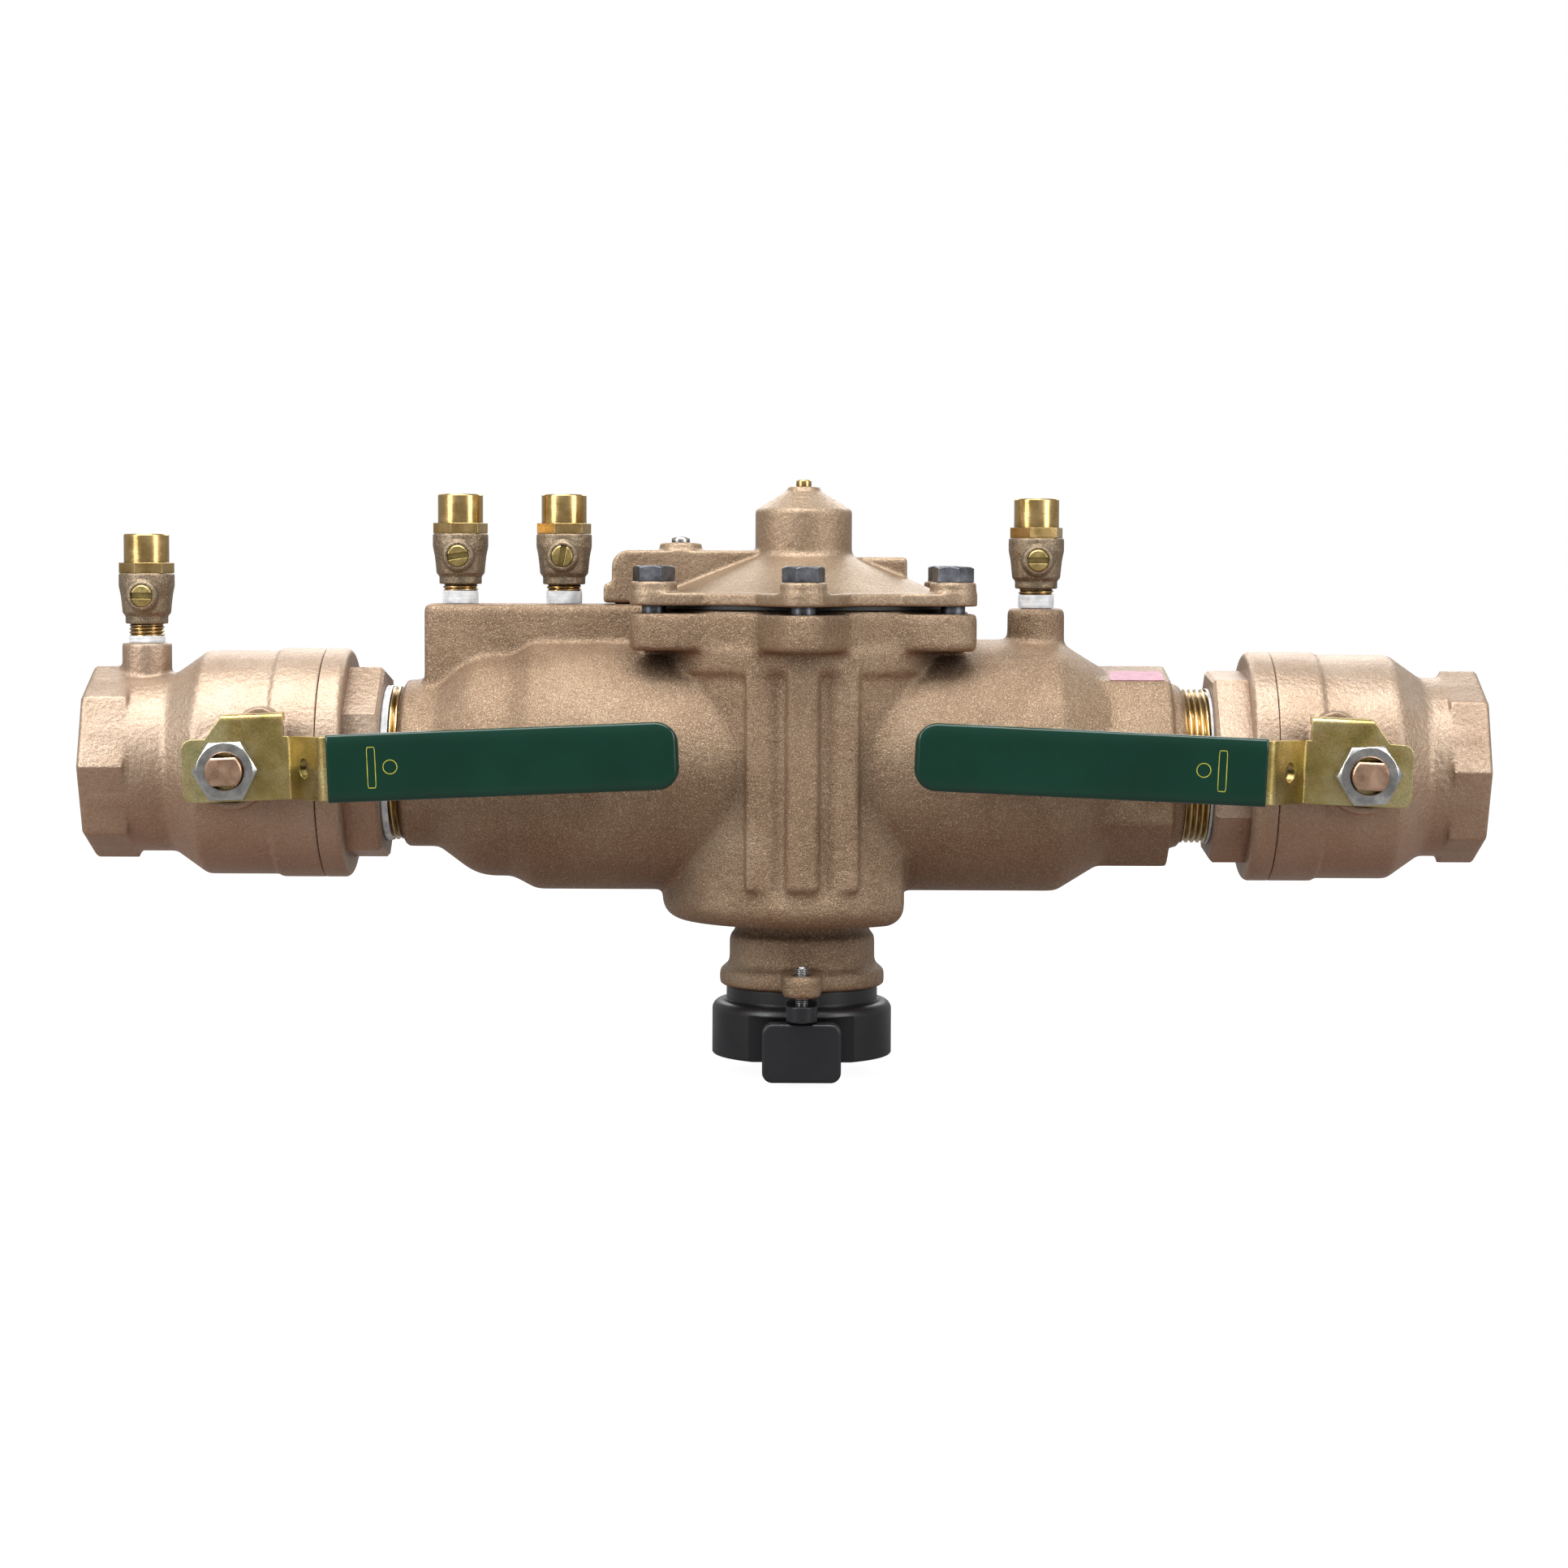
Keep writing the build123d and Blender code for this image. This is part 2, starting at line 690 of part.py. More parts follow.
def flange_outline():
    """Six-lug outline: hexagonal valleys, and lugs with sides 30 degrees off the radius."""
    corner = (bolt_ring_r + lug_r * cos(radians(60)), lug_r * sin(radians(60)))
    valley = valley_r - corner[0] * cos(radians(30)) - corner[1] * sin(radians(30))
    run = -valley / cos(radians(60))
    inner = (corner[0] - run * cos(radians(30)), corner[1] + run * sin(radians(30)))
    RegularPolygon(valley_r, 6, major_radius=False, rotation=30)
    with PolarLocations(0, 6, start_angle=30):
        Polygon(corner, inner, (inner[0], -inner[1]), (corner[0], -corner[1]), align=None)
    with PolarLocations(bolt_ring_r, 6, start_angle=30):
        Circle(lug_r)


def relief_lugs():
    """Plan of the two lugs that carry the thumbscrews, front and rear."""
    for side in (-1, 1):
        with Locations((0, side * lug_forward / 2)):
            Rectangle(2 * lug_pad_r, lug_forward)
        with Locations((0, side * lug_forward)):
            Circle(lug_pad_r)


with BuildPart() as main_body:
    # Manifold block, rounded along its top and its inlet end
    block_x = inlet_shoulder + block_start
    block_end = cover_x - valley_r - 0.6
    with BuildSketch(Plane.XY):
        with Locations(((block_x + block_end) / 2, 0)):
            Rectangle(block_end - block_x, 2 * block_half)
    extrude(amount=block_top)
    inlet_end = main_body.edges().filter_by(Axis.Z).group_by(Axis.X)[0]
    fillet(inlet_end, block_corner)
    fillet(main_body.faces().sort_by(Axis.Z)[-1].edges(), 2.0)
    # Relief chamber, flattened under the outlet barrel
    with BuildSketch(level(chamber_floor)) as plan:
        Circle(chamber_r)
        with Locations((chamber_flat + chamber_r, 0)):
            Rectangle(2 * chamber_r, 4 * chamber_r, mode=Mode.SUBTRACT)
        fillet(plan.vertices(), chamber_corner / 2)
    extrude(amount=-chamber_floor)
    floor_edges = main_body.edges().filter_by_position(Axis.Z, chamber_floor - 0.01, chamber_floor + 0.01)
    fillet(floor_edges, chamber_corner)
    with BuildSketch(level(0)):
        Circle(chamber_r)
    extrude(amount=flange_bottom + 1)
    with BuildSketch(level(flange_bottom - collar_band)):
        Circle(chamber_r + collar_band_out)
    extrude(amount=collar_band + 1)
    # Flat pads and ribs down the front and the back of the chamber
    pad_y = sqrt(chamber_r**2 - plateau_half**2) + 3.4
    with BuildSketch(level(-barrel_r + 4)):
        Rectangle(2 * plateau_half, 2 * pad_y)
        Rectangle(2 * rib_half, 2 * (chamber_r + rib_out))
    extrude(amount=barrel_r - 4 + flange_bottom)
    # Barrels along the line
    barrels = [
        (inlet_shoulder, 0),
        (inlet_shoulder, body_collar_r),
        (inlet_shoulder + inlet_collar, body_collar_r),
        (inlet_shoulder + inlet_collar + dome_length, barrel_r - shoulder_drop),
        (left_barrel_start - slope_length, barrel_r - shoulder_drop),
        (left_barrel_start, barrel_r),
        (right_cone_start, barrel_r),
        (right_cone_end, barrel_r - cone_drop),
        (right_cone_end, body_collar_r - outlet_collar_drop),
        (outlet_shoulder, body_collar_r - outlet_collar_drop),
        (outlet_shoulder, 0),
    ]
    with BuildSketch(Plane.XZ):
        with BuildLine():
            FilletPolyline(*barrels, radius=[1.0, 3.0, 20.0, 8.0, 8.0, 6.0, 1.0, 0.5, 1.0])
            Line(barrels[-1], barrels[0])
        make_face()
    revolve(axis=Axis.X)
    with BuildSketch(Plane.YZ.offset(right_cone_start + 4)):
        octagon(pad_corner_r, 13)
    extrude(amount=outlet_shoulder - outlet_collar - right_cone_start - 4)
    # Screwed ends: ring threads where they show, plain fit inside the end caps
    for shoulder, cap_face in ((inlet_shoulder, cap_face_in), (outlet_shoulder, cap_face_out)):
        way = 1 if shoulder > cap_face else -1
        tip = cap_face - way * (port_thread_length - 3)
        shown = thread_outline(0, abs(shoulder - cap_face), pipe_fit_r, pipe_major_r, pipe_pitch)
        outline = [(tip, 0), (tip, pipe_fit_r - thread_fit), (cap_face, pipe_fit_r - thread_fit)]
        outline += [(cap_face + way * along, r) for along, r in shown]
        outline += [(shoulder + way, pipe_fit_r), (shoulder + way, 0)]
        with BuildSketch(Plane.XZ):
            with BuildLine():
                Polyline(*outline, close=True)
            make_face()
        revolve(axis=Axis.X)
    # Flange with its raised sealing land
    with BuildSketch(level(flange_bottom)):
        flange_outline()
    extrude(amount=flange_thickness)
    with BuildSketch(level(flange_top)):
        Circle(chamber_r - 0.2)
    extrude(amount=land_height)
    # Boss for the fourth test cock
    with BuildSketch(Plane.XY):
        with Locations((cock_xs[3], 0)):
            Circle(outlet_boss_r)
    extrude(amount=boss_tops[3])
    # Relief outlet
    outlet = [
        (0, chamber_floor + 2),
        (neck_r, chamber_floor + 2),
        (neck_r, neck_bottom),
        (skirt_r, neck_bottom - 1.5),
        (skirt_r, skirt_bottom),
        (relief_flange_r, skirt_bottom - 2.4),
        (relief_flange_r, relief_face),
        (0, relief_face),
    ]
    with BuildSketch(cover_front):
        with BuildLine():
            FilletPolyline(*outlet, radius=[0.3, 0.8, 0.8, 1.2, 1.6, 0.8])
            Line(outlet[-1], outlet[0])
        make_face()
    revolve(axis=cover_axis)
    with BuildSketch(level(relief_face)):
        relief_lugs()
    extrude(amount=relief_flange_height)

    # Waterway from the inlet, with the land and shoulder of the first check
    collar_end = inlet_shoulder + inlet_collar
    bore = [
        (cap_face_in - port_thread_length, 0),
        (cap_face_in - port_thread_length, water_r),
        (collar_end, water_r),
        (collar_end + dome_length, upstream_r),
        (check_1_x, upstream_r),
        (check_1_x, check_bore_r),
        (check_1_x + check_land, check_bore_r),
        (check_1_x + check_land, barrel_bore_r),
        (cover_x, barrel_bore_r),
        (cover_x, 0),
    ]
    with BuildSketch(Plane.XZ):
        with BuildLine():
            Polyline(*bore, close=True)
        make_face()
    revolve(axis=Axis.X, mode=Mode.SUBTRACT)
    # Waterway to the outlet, with the land and shoulder of the second check
    land_end = check_2_x + check_land
    bore = [
        (cover_x, 0),
        (cover_x, check_bore_r),
        (land_end, check_bore_r),
        (land_end, check_shoulder_r),
        (land_end + 2, check_shoulder_r),
        (land_end + 2, barrel_bore_r),
        (right_cone_start - 2, barrel_bore_r),
        (right_cone_end + 2, water_r),
        (cap_face_out + port_thread_length, water_r),
        (cap_face_out + port_thread_length, 0),
    ]
    with BuildSketch(Plane.XZ):
        with BuildLine():
            Polyline(*bore, close=True)
        make_face()
    revolve(axis=Axis.X, mode=Mode.SUBTRACT)
    # Relief chamber, its top opening and the relief port
    with BuildSketch(level(chamber_inside_floor)):
        Circle(chamber_bore_r)
        with Locations((chamber_flat - chamber_wall + chamber_r, 0)):
            Rectangle(2 * chamber_r, 4 * chamber_r, mode=Mode.SUBTRACT)
    extrude(amount=-chamber_inside_floor, mode=Mode.SUBTRACT)
    with BuildSketch(level(0)):
        Circle(chamber_bore_r)
    extrude(amount=land_top + 1, mode=Mode.SUBTRACT)
    with BuildSketch(level(relief_face - 1)):
        Circle(relief_bore_r)
    extrude(amount=chamber_inside_floor - relief_face + 2, mode=Mode.SUBTRACT)
    # Tapped holes
    with BuildSketch(level(flange_top - bolt_engagement)):
        with PolarLocations(bolt_ring_r, 6, start_angle=30):
            Circle(bolt_r + thread_fit)
    extrude(amount=bolt_engagement + 1, mode=Mode.SUBTRACT)
    with BuildSketch(level(relief_face - 1)):
        with Locations((0, -lug_forward), (0, lug_forward)):
            Circle(thumb_r + running_fit)
    extrude(amount=relief_flange_height + 2, mode=Mode.SUBTRACT)
    for cock_x, boss_top in zip(cock_xs[1:], boss_tops[1:]):
        with BuildSketch(Plane.XY.offset(boss_top - cock_thread_length - 0.5)):
            with Locations((cock_x, 0)):
                Circle(cock_fit_r + thread_fit)
        extrude(amount=cock_thread_length + 1.5, mode=Mode.SUBTRACT)
    for cock_x in (cock_xs[1], cock_xs[3]):
        with BuildSketch(Plane.XY):
            with Locations((cock_x, 0)):
                Circle(cock_bore_r)
        extrude(amount=block_top - 5, mode=Mode.SUBTRACT)
    # Sensing passage up to the cover, and the third cock's passage into the chamber
    with BuildSketch(Plane.XY):
        with Locations((sense_x, 0)):
            Circle(passage_r)
    extrude(amount=block_top + 1, mode=Mode.SUBTRACT)
    with BuildSketch(Plane.YZ.offset(cock_xs[2])):
        with Locations((zone_passage_y, block_top - zone_passage_below)):
            Circle(zone_passage_r)
    extrude(amount=cover_x - chamber_bore_r + 3 - cock_xs[2], mode=Mode.SUBTRACT)
save(main_body.part, "main_body")


# ======== Cover ========

cover_top = cover_bottom + lug_boss_height
channel_z = cover_bottom + 14.5
cavity_r = chamber_bore_r - 2
inner_cone_z = dome_base - cover_wall - 0.8

with BuildPart() as cover:
    with BuildSketch(level(cover_bottom)):
        flange_outline()
    extrude(amount=cover_rim)
    with BuildSketch(level(cover_bottom)):
        with PolarLocations(bolt_ring_r, 6, start_angle=30):
            Circle(lug_boss_r)
    extrude(amount=lug_boss_height)
    boss_rims = cover.edges().filter_by_position(Axis.Z, cover_top - 0.01, cover_top + 0.01)
    fillet(boss_rims, 0.8)
    # Sensing arm from the dome to its foot on the block
    arm = [
        (-40, foot_bottom - cover_bottom),
        (-foot_reach, foot_bottom - cover_bottom),
        (-foot_reach, foot_top),
        (-arm_reach, foot_top),
        (-arm_reach, arm_top),
        (0, arm_top),
        (0, cover_rim),
        (-40, cover_rim),
    ]
    with BuildSketch(Plane((cover_x, 0, cover_bottom), x_dir=(1, 0, 0), z_dir=(0, -1, 0))):
        with BuildLine():
            FilletPolyline(*arm, radius=[1.0, 2.0, 0.8, 6.5, 0.5, 0.5])
            Line(arm[-1], arm[0])
        make_face()
    extrude(amount=arm_half, both=True)
    with BuildSketch(level(cover_bottom + cover_rim)):
        with Locations((-screw_boss_at, 0)):
            Circle(screw_boss_r)
    extrude(amount=screw_boss_top - cover_rim)
    boss_rim = cover.edges().filter_by(GeomType.CIRCLE).sort_by(Axis.Z)[-1]
    fillet(boss_rim, 1.0)
    # Short bar on the outlet side
    with BuildSketch(level(cover_bottom + cover_rim)):
        with Locations((bar_reach / 2, 0)):
            Rectangle(bar_reach, 2 * arm_half - 4)
    extrude(amount=bar_top - cover_rim)
    bar_z = cover_bottom + bar_top
    bar_end = cover.faces().filter_by(Axis.Z).sort_by(lambda face: abs(face.center().Z - bar_z))[0]
    fillet(bar_end.edges(), 1.5)
    # Cone, dome and tip
    profile = [
        (0, cover_rim - 1),
        (valley_r - 2, cover_rim - 1),
        (valley_r - 2, cover_rim),
        (dome_r, dome_base),
        (dome_r, dome_top),
        (dome_tip_r, dome_cone_top),
        (dome_tip_r, dome_cone_top + dome_disc),
        (0, dome_cone_top + dome_disc),
    ]
    with BuildSketch(Plane((cover_x, 0, cover_bottom), x_dir=(1, 0, 0), z_dir=(0, -1, 0))):
        with BuildLine():
            FilletPolyline(*profile, radius=[0.2, 0.2, 3.0, 1.5, 0.5, 0.4])
            Line(profile[-1], profile[0])
        make_face()
    revolve(axis=cover_axis)
    # Diaphragm chamber and dome cavity
    cavity = [
        (0, -1),
        (cavity_r, -1),
        (cavity_r, 1.5),
        (dome_r - 3, inner_cone_z),
        (dome_r - dome_wall, inner_cone_z),
        (dome_r - dome_wall, dome_top - 2),
        (bleed_r - 0.5, dome_cone_top - 4),
        (bleed_r - 0.5, dome_cone_top + dome_disc + 1),
        (0, dome_cone_top + dome_disc + 1),
    ]
    with BuildSketch(Plane((cover_x, 0, cover_bottom), x_dir=(1, 0, 0), z_dir=(0, -1, 0))):
        with BuildLine():
            Polyline(*cavity, close=True)
        make_face()
    revolve(axis=cover_axis, mode=Mode.SUBTRACT)
    # Sensing passage: up from the foot, along the arm and into the dome
    with BuildSketch(level(foot_bottom - 1)):
        with Locations((-sense_back, 0)):
            Circle(passage_r)
    extrude(amount=channel_z - foot_bottom + 1, mode=Mode.SUBTRACT)
    with BuildSketch(Plane.YZ.offset(sense_x - 1)):
        with Locations((0, channel_z)):
            Circle(passage_r)
    extrude(amount=sense_back - 8, mode=Mode.SUBTRACT)
    with BuildSketch(level(foot_bottom)):
        with Locations((-sense_back, 0)):
            Circle(6.7)
            Circle(4.0, mode=Mode.SUBTRACT)
    extrude(amount=1.5, mode=Mode.SUBTRACT)
    with BuildSketch(level(cover_bottom + screw_boss_top - 6)):
        with Locations((-screw_boss_at, 0)):
            Circle(2.4 + thread_fit)
    extrude(amount=8, mode=Mode.SUBTRACT)
    with BuildSketch(level(cover_bottom - 1)):
        with PolarLocations(bolt_ring_r, 6, start_angle=30):
            Circle(bolt_r + open_gap)
    extrude(amount=lug_boss_height + 2, mode=Mode.SUBTRACT)
save(cover.part, "cover")

with BuildPart() as cover_bolts:
    with BuildSketch(level(cover_top)):
        with PolarLocations(bolt_ring_r, 6, start_angle=30):
            RegularPolygon(bolt_flats / 2, 6, major_radius=False, rotation=12)
    extrude(amount=bolt_head)
    with BuildSketch(level(cover_top)):
        with PolarLocations(bolt_ring_r, 6, start_angle=30):
            Circle(bolt_flats / 2 * 1.1)
    extrude(amount=bolt_head, mode=Mode.INTERSECT)
    chamfer(cover_bolts.faces().group_by(Axis.Z)[-1].edges(), 0.5)
    with BuildSketch(level(flange_top - bolt_engagement + 1)):
        with PolarLocations(bolt_ring_r, 6, start_angle=30):
            Circle(bolt_r)
    extrude(amount=cover_top - flange_top + bolt_engagement - 1)
save(cover_bolts.part, "cover_bolts")

with BuildPart() as bleed_screw:
    tip_z = cover_bottom + dome_cone_top + dome_disc
    with BuildSketch(level(tip_z)):
        Circle(bleed_r)
    extrude(amount=bleed_height)
    chamfer(bleed_screw.faces().sort_by(Axis.Z)[-1].edges(), 0.4)
    with BuildSketch(level(tip_z - 4)):
        Circle(bleed_r - 0.5 - thread_fit)
    extrude(amount=4)
    with BuildSketch(level(tip_z + bleed_height - 1.2)):
        Rectangle(2 * bleed_r + 1, 0.9)
    extrude(amount=2, mode=Mode.SUBTRACT)
save(bleed_screw.part, "bleed_screw")

with BuildPart() as passage_screw:
    head_z = cover_bottom + screw_boss_top
    head = Plane((cover_x - screw_boss_at, 0, head_z))
    with BuildSketch(head):
        Circle(3.6)
    extrude(amount=2.5)
    fillet(passage_screw.faces().sort_by(Axis.Z)[-1].edges(), 1.6)
    with BuildSketch(head.offset(-5)):
        Circle(2.4)
    extrude(amount=5)
    with BuildSketch(head.offset(1.1)):
        Rectangle(3.2, 0.8)
        Rectangle(0.8, 3.2)
    extrude(amount=3, mode=Mode.SUBTRACT)
save(passage_screw.part, "passage_screw")

with BuildPart() as passage_o_ring:
    with BuildSketch(Plane((sense_x, 0, 0), x_dir=(1, 0, 0), z_dir=(0, -1, 0))):
        with Locations((5.35, block_top + 0.9)):
            Circle(0.88)
    revolve(axis=Axis((sense_x, 0, 0), (0, 0, 1)))
save(passage_o_ring.part, "passage_o_ring")


# ======== Check modules ========


def check_module(number, seat_x):
    """One spring check: seat ring, o-ring, guide cage and the disc assembly it guides."""
    axis_plane = Plane.YZ.offset(seat_x)
    hub_start = check_land + check_lip + 0.05 + check_disc + check_holder + check_spring_length
    hub_end = hub_start + check_hub
    disc_start = check_land + check_lip + 0.05
    holder_start = disc_start + check_disc
    holder_end = holder_start + check_holder
    seat_r = check_bore_r - thread_fit
    with BuildPart() as seat:
        with BuildSketch(axis_plane):
            Circle(seat_r)
            Circle(water_r, mode=Mode.SUBTRACT)
        extrude(amount=check_land)
        with BuildSketch(axis_plane.offset(check_land)):
            Circle(check_lip_r)
            Circle(water_r, mode=Mode.SUBTRACT)
        extrude(amount=check_lip)
        with BuildSketch(axis_plane.offset(check_land / 2 - 1.3)):
            Circle(seat_r + 1)
            Circle(seat_r - 2.0, mode=Mode.SUBTRACT)
        extrude(amount=2.6, mode=Mode.SUBTRACT)
    save(seat.part, f"check_{number}_seat")
    with BuildPart() as ring:
        with BuildSketch(Plane.XZ):
            with Locations((seat_x + check_land / 2, seat_r - 0.95)):
                Circle(0.93)
        revolve(axis=Axis.X)
    save(ring.part, f"check_{number}_o_ring")
    with BuildPart() as cage:
        with BuildSketch(axis_plane.offset(check_land)):
            Circle(cage_outer_r)
            Circle(check_holder_r + 0.8, mode=Mode.SUBTRACT)
        extrude(amount=1.5)
        with BuildSketch(axis_plane.offset(check_land)):
            with PolarLocations(0, 4, start_angle=45):
                Rectangle(2 * cage_outer_r, 8, align=(Align.CENTER, Align.CENTER))
            Circle(check_holder_r + 0.8, mode=Mode.SUBTRACT)
        extrude(amount=hub_end - check_land - 1)
        with BuildSketch(axis_plane.offset(hub_start)):
            with PolarLocations(0, 4, start_angle=45):
                Rectangle(2 * cage_outer_r, 8, align=(Align.CENTER, Align.CENTER))
            Circle(check_spring_r + 3)
        extrude(amount=check_hub - 1)
        with BuildSketch(axis_plane):
            Circle(cage_outer_r)
        extrude(amount=hub_end, mode=Mode.INTERSECT)
        with BuildSketch(axis_plane):
            Circle(check_stem_r + running_fit)
        extrude(amount=hub_end + 1, mode=Mode.SUBTRACT)
    save(cage.part, f"check_{number}_cage")
    with BuildPart() as holder:
        with BuildSketch(axis_plane.offset(holder_start)):
            Circle(check_holder_r)
        extrude(amount=check_holder)
        with BuildSketch(axis_plane.offset(disc_start)):
            Circle(check_stem_r)
        extrude(amount=hub_end + 1 - disc_start)
    save(holder.part, f"check_{number}_disc_holder")
    with BuildPart() as disc:
        with BuildSketch(axis_plane.offset(disc_start)):
            Circle(check_disc_r)
            Circle(check_stem_r, mode=Mode.SUBTRACT)
        extrude(amount=check_disc)
    save(disc.part, f"check_{number}_disc")
    gap = check_wire_r + 0.05
    coil_length = check_spring_length - 2 * gap
    with BuildPart() as spring:
        with BuildLine() as coil:
            Helix(coil_length / 4, coil_length, check_spring_r, center=(seat_x + holder_end + gap, 0, 0),
                  direction=(1, 0, 0))
        with BuildSketch(Plane(coil.line @ 0, z_dir=coil.line % 0)):
            Circle(check_wire_r)
        sweep(path=coil.line, is_frenet=True)
    save(spring.part, f"check_{number}_spring")


check_module(1, check_1_x)
check_module(2, check_2_x)


# ======== Relief valve ========

hub_bottom = seat_lip_top - 15.0
hub_top = hub_bottom + 4.5
disc_top = relief_disc_bottom + relief_disc
stem_top = cover_bottom + 12.0

with BuildPart() as relief_seat:
    with BuildSketch(level(chamber_inside_floor)):
        Circle(relief_bore_r + 3)
    extrude(amount=3.0)
    with BuildSketch(level(hub_bottom - 0.5)):
        Circle(relief_bore_r - thread_fit)
    extrude(amount=chamber_inside_floor - hub_bottom + 1)
    with BuildSketch(level(chamber_inside_floor)):
        Circle(relief_bore_r - 2)
    extrude(amount=4.5)
    with BuildSketch(level(hub_bottom - 1)):
        Circle(relief_bore_r - 4)
    extrude(amount=seat_lip_top - hub_bottom + 2, mode=Mode.SUBTRACT)
    with BuildSketch(level(hub_bottom)):
        with PolarLocations(0, 3):
            with Locations((relief_bore_r / 2 - 1, 0)):
                Rectangle(relief_bore_r - 3, 3.0)
        Circle(relief_spring_r + 1.5)
    extrude(amount=hub_top - hub_bottom)
    with BuildSketch(level(hub_bottom - 1)):
        Circle(relief_stem_r + running_fit)
    extrude(amount=8, mode=Mode.SUBTRACT)
    with BuildSketch(level(hub_top + 2)):
        Circle(relief_bore_r + 1)
        Circle(relief_bore_r - 2.0, mode=Mode.SUBTRACT)
    extrude(amount=2.4, mode=Mode.SUBTRACT)
save(relief_seat.part, "relief_seat")

with BuildPart() as relief_seat_o_ring:
    with BuildSketch(cover_front):
        with Locations((relief_bore_r - 1.02, hub_top + 3.2)):
            Circle(0.93)
    revolve(axis=cover_axis)
save(relief_seat_o_ring.part, "relief_seat_o_ring")

with BuildPart() as relief_stem:
    with BuildSketch(level(hub_bottom + 0.5)):
        Circle(relief_stem_r)
    extrude(amount=stem_top - hub_bottom - 0.5)
    with BuildSketch(level(land_top - 2.5)):
        Circle(diaphragm_plate_r)
    extrude(amount=2.5)
    fillet(relief_stem.edges().filter_by(lambda edge: edge.length > 6 * diaphragm_plate_r), 0.8)
save(relief_stem.part, "relief_stem")

with BuildPart() as relief_disc_holder:
    with BuildSketch(level(disc_top)):
        Circle(relief_disc_r + 1.5)
    extrude(amount=2.5)
    with BuildSketch(level(disc_top)):
        Circle(relief_stem_r + 4)
    extrude(amount=8)
    with BuildSketch(level(disc_top - 1)):
        Circle(relief_stem_r + thread_fit)
    extrude(amount=10, mode=Mode.SUBTRACT)
save(relief_disc_holder.part, "relief_disc_holder")

with BuildPart() as relief_valve_disc:
    with BuildSketch(level(relief_disc_bottom)):
        Circle(relief_disc_r)
        Circle(relief_stem_r + thread_fit, mode=Mode.SUBTRACT)
    extrude(amount=relief_disc)
save(relief_valve_disc.part, "relief_disc")

with BuildPart() as relief_spring:
    gap = relief_wire_r + 0.05
    coil_length = relief_disc_bottom - hub_top - 2 * gap
    with BuildLine() as coil:
        Helix(coil_length / 5, coil_length, relief_spring_r, center=(cover_x, 0, hub_top + gap))
    with BuildSketch(Plane(coil.line @ 0, z_dir=coil.line % 0)):
        Circle(relief_wire_r)
    sweep(path=coil.line, is_frenet=True)
save(relief_spring.part, "relief_spring")

with BuildPart() as diaphragm:
    with BuildSketch(level(land_top)):
        Circle(chamber_r - 0.2)
        Circle(relief_stem_r + thread_fit, mode=Mode.SUBTRACT)
    extrude(amount=diaphragm_thickness)
save(diaphragm.part, "diaphragm")

with BuildPart() as diaphragm_plate:
    with BuildSketch(level(cover_bottom)):
        Circle(diaphragm_plate_r)
        Circle(relief_stem_r + thread_fit, mode=Mode.SUBTRACT)
    extrude(amount=2.5)
    fillet(diaphragm_plate.edges().filter_by(lambda edge: edge.length > 6 * diaphragm_plate_r), 0.8)
save(diaphragm_plate.part, "diaphragm_plate")

with BuildPart() as diaphragm_nut:
    with BuildSketch(level(cover_bottom + 2.5)):
        RegularPolygon(6.5, 6, major_radius=False)
        Circle(relief_stem_r + thread_fit, mode=Mode.SUBTRACT)
    extrude(amount=6.5)
save(diaphragm_nut.part, "diaphragm_nut")


# ======== Flood sensor ========

with BuildPart() as sensor_housing:
    with BuildSketch(level(sensor_bottom)):
        Circle(sensor_r)
    extrude(amount=sensor_height)
    rims = sensor_housing.edges().filter_by(GeomType.CIRCLE).sort_by(Axis.Z)
    fillet(rims[-1], 4.0)
    fillet(rims[0], 1.0)
    with BuildSketch(level(sensor_bottom + sensor_height - 6)):
        Circle(sensor_neck_r)
    extrude(amount=sensor_neck + 6)
    # Recesses that let the knobs turn
    with BuildSketch(level(sensor_bottom - 1)):
        for side in (-1, 1):
            with Locations((0, side * (sensor_recess + sensor_r / 2))):
                Rectangle(2 * sensor_recess_half, sensor_r)
    extrude(amount=knob_top + 0.4 - sensor_bottom + 1, mode=Mode.SUBTRACT)
    # Ears for the thumbscrews
    with BuildSketch(level(ear_top - ear_height)):
        with Locations((0, -lug_forward), (0, lug_forward)):
            Circle(ear_r)
        Rectangle(2 * ear_r, 2 * lug_forward)
    extrude(amount=ear_height)
    with BuildSketch(level(sensor_bottom - 1)):
        Circle(sensor_bore_r)
    extrude(amount=sensor_neck + sensor_height + 2, mode=Mode.SUBTRACT)
    with BuildSketch(level(ear_top - ear_height - 1)):
        with Locations((0, -lug_forward), (0, lug_forward)):
            Circle(thumb_r + open_gap)
    extrude(amount=ear_height + 2, mode=Mode.SUBTRACT)
save(sensor_housing.part, "sensor_housing")


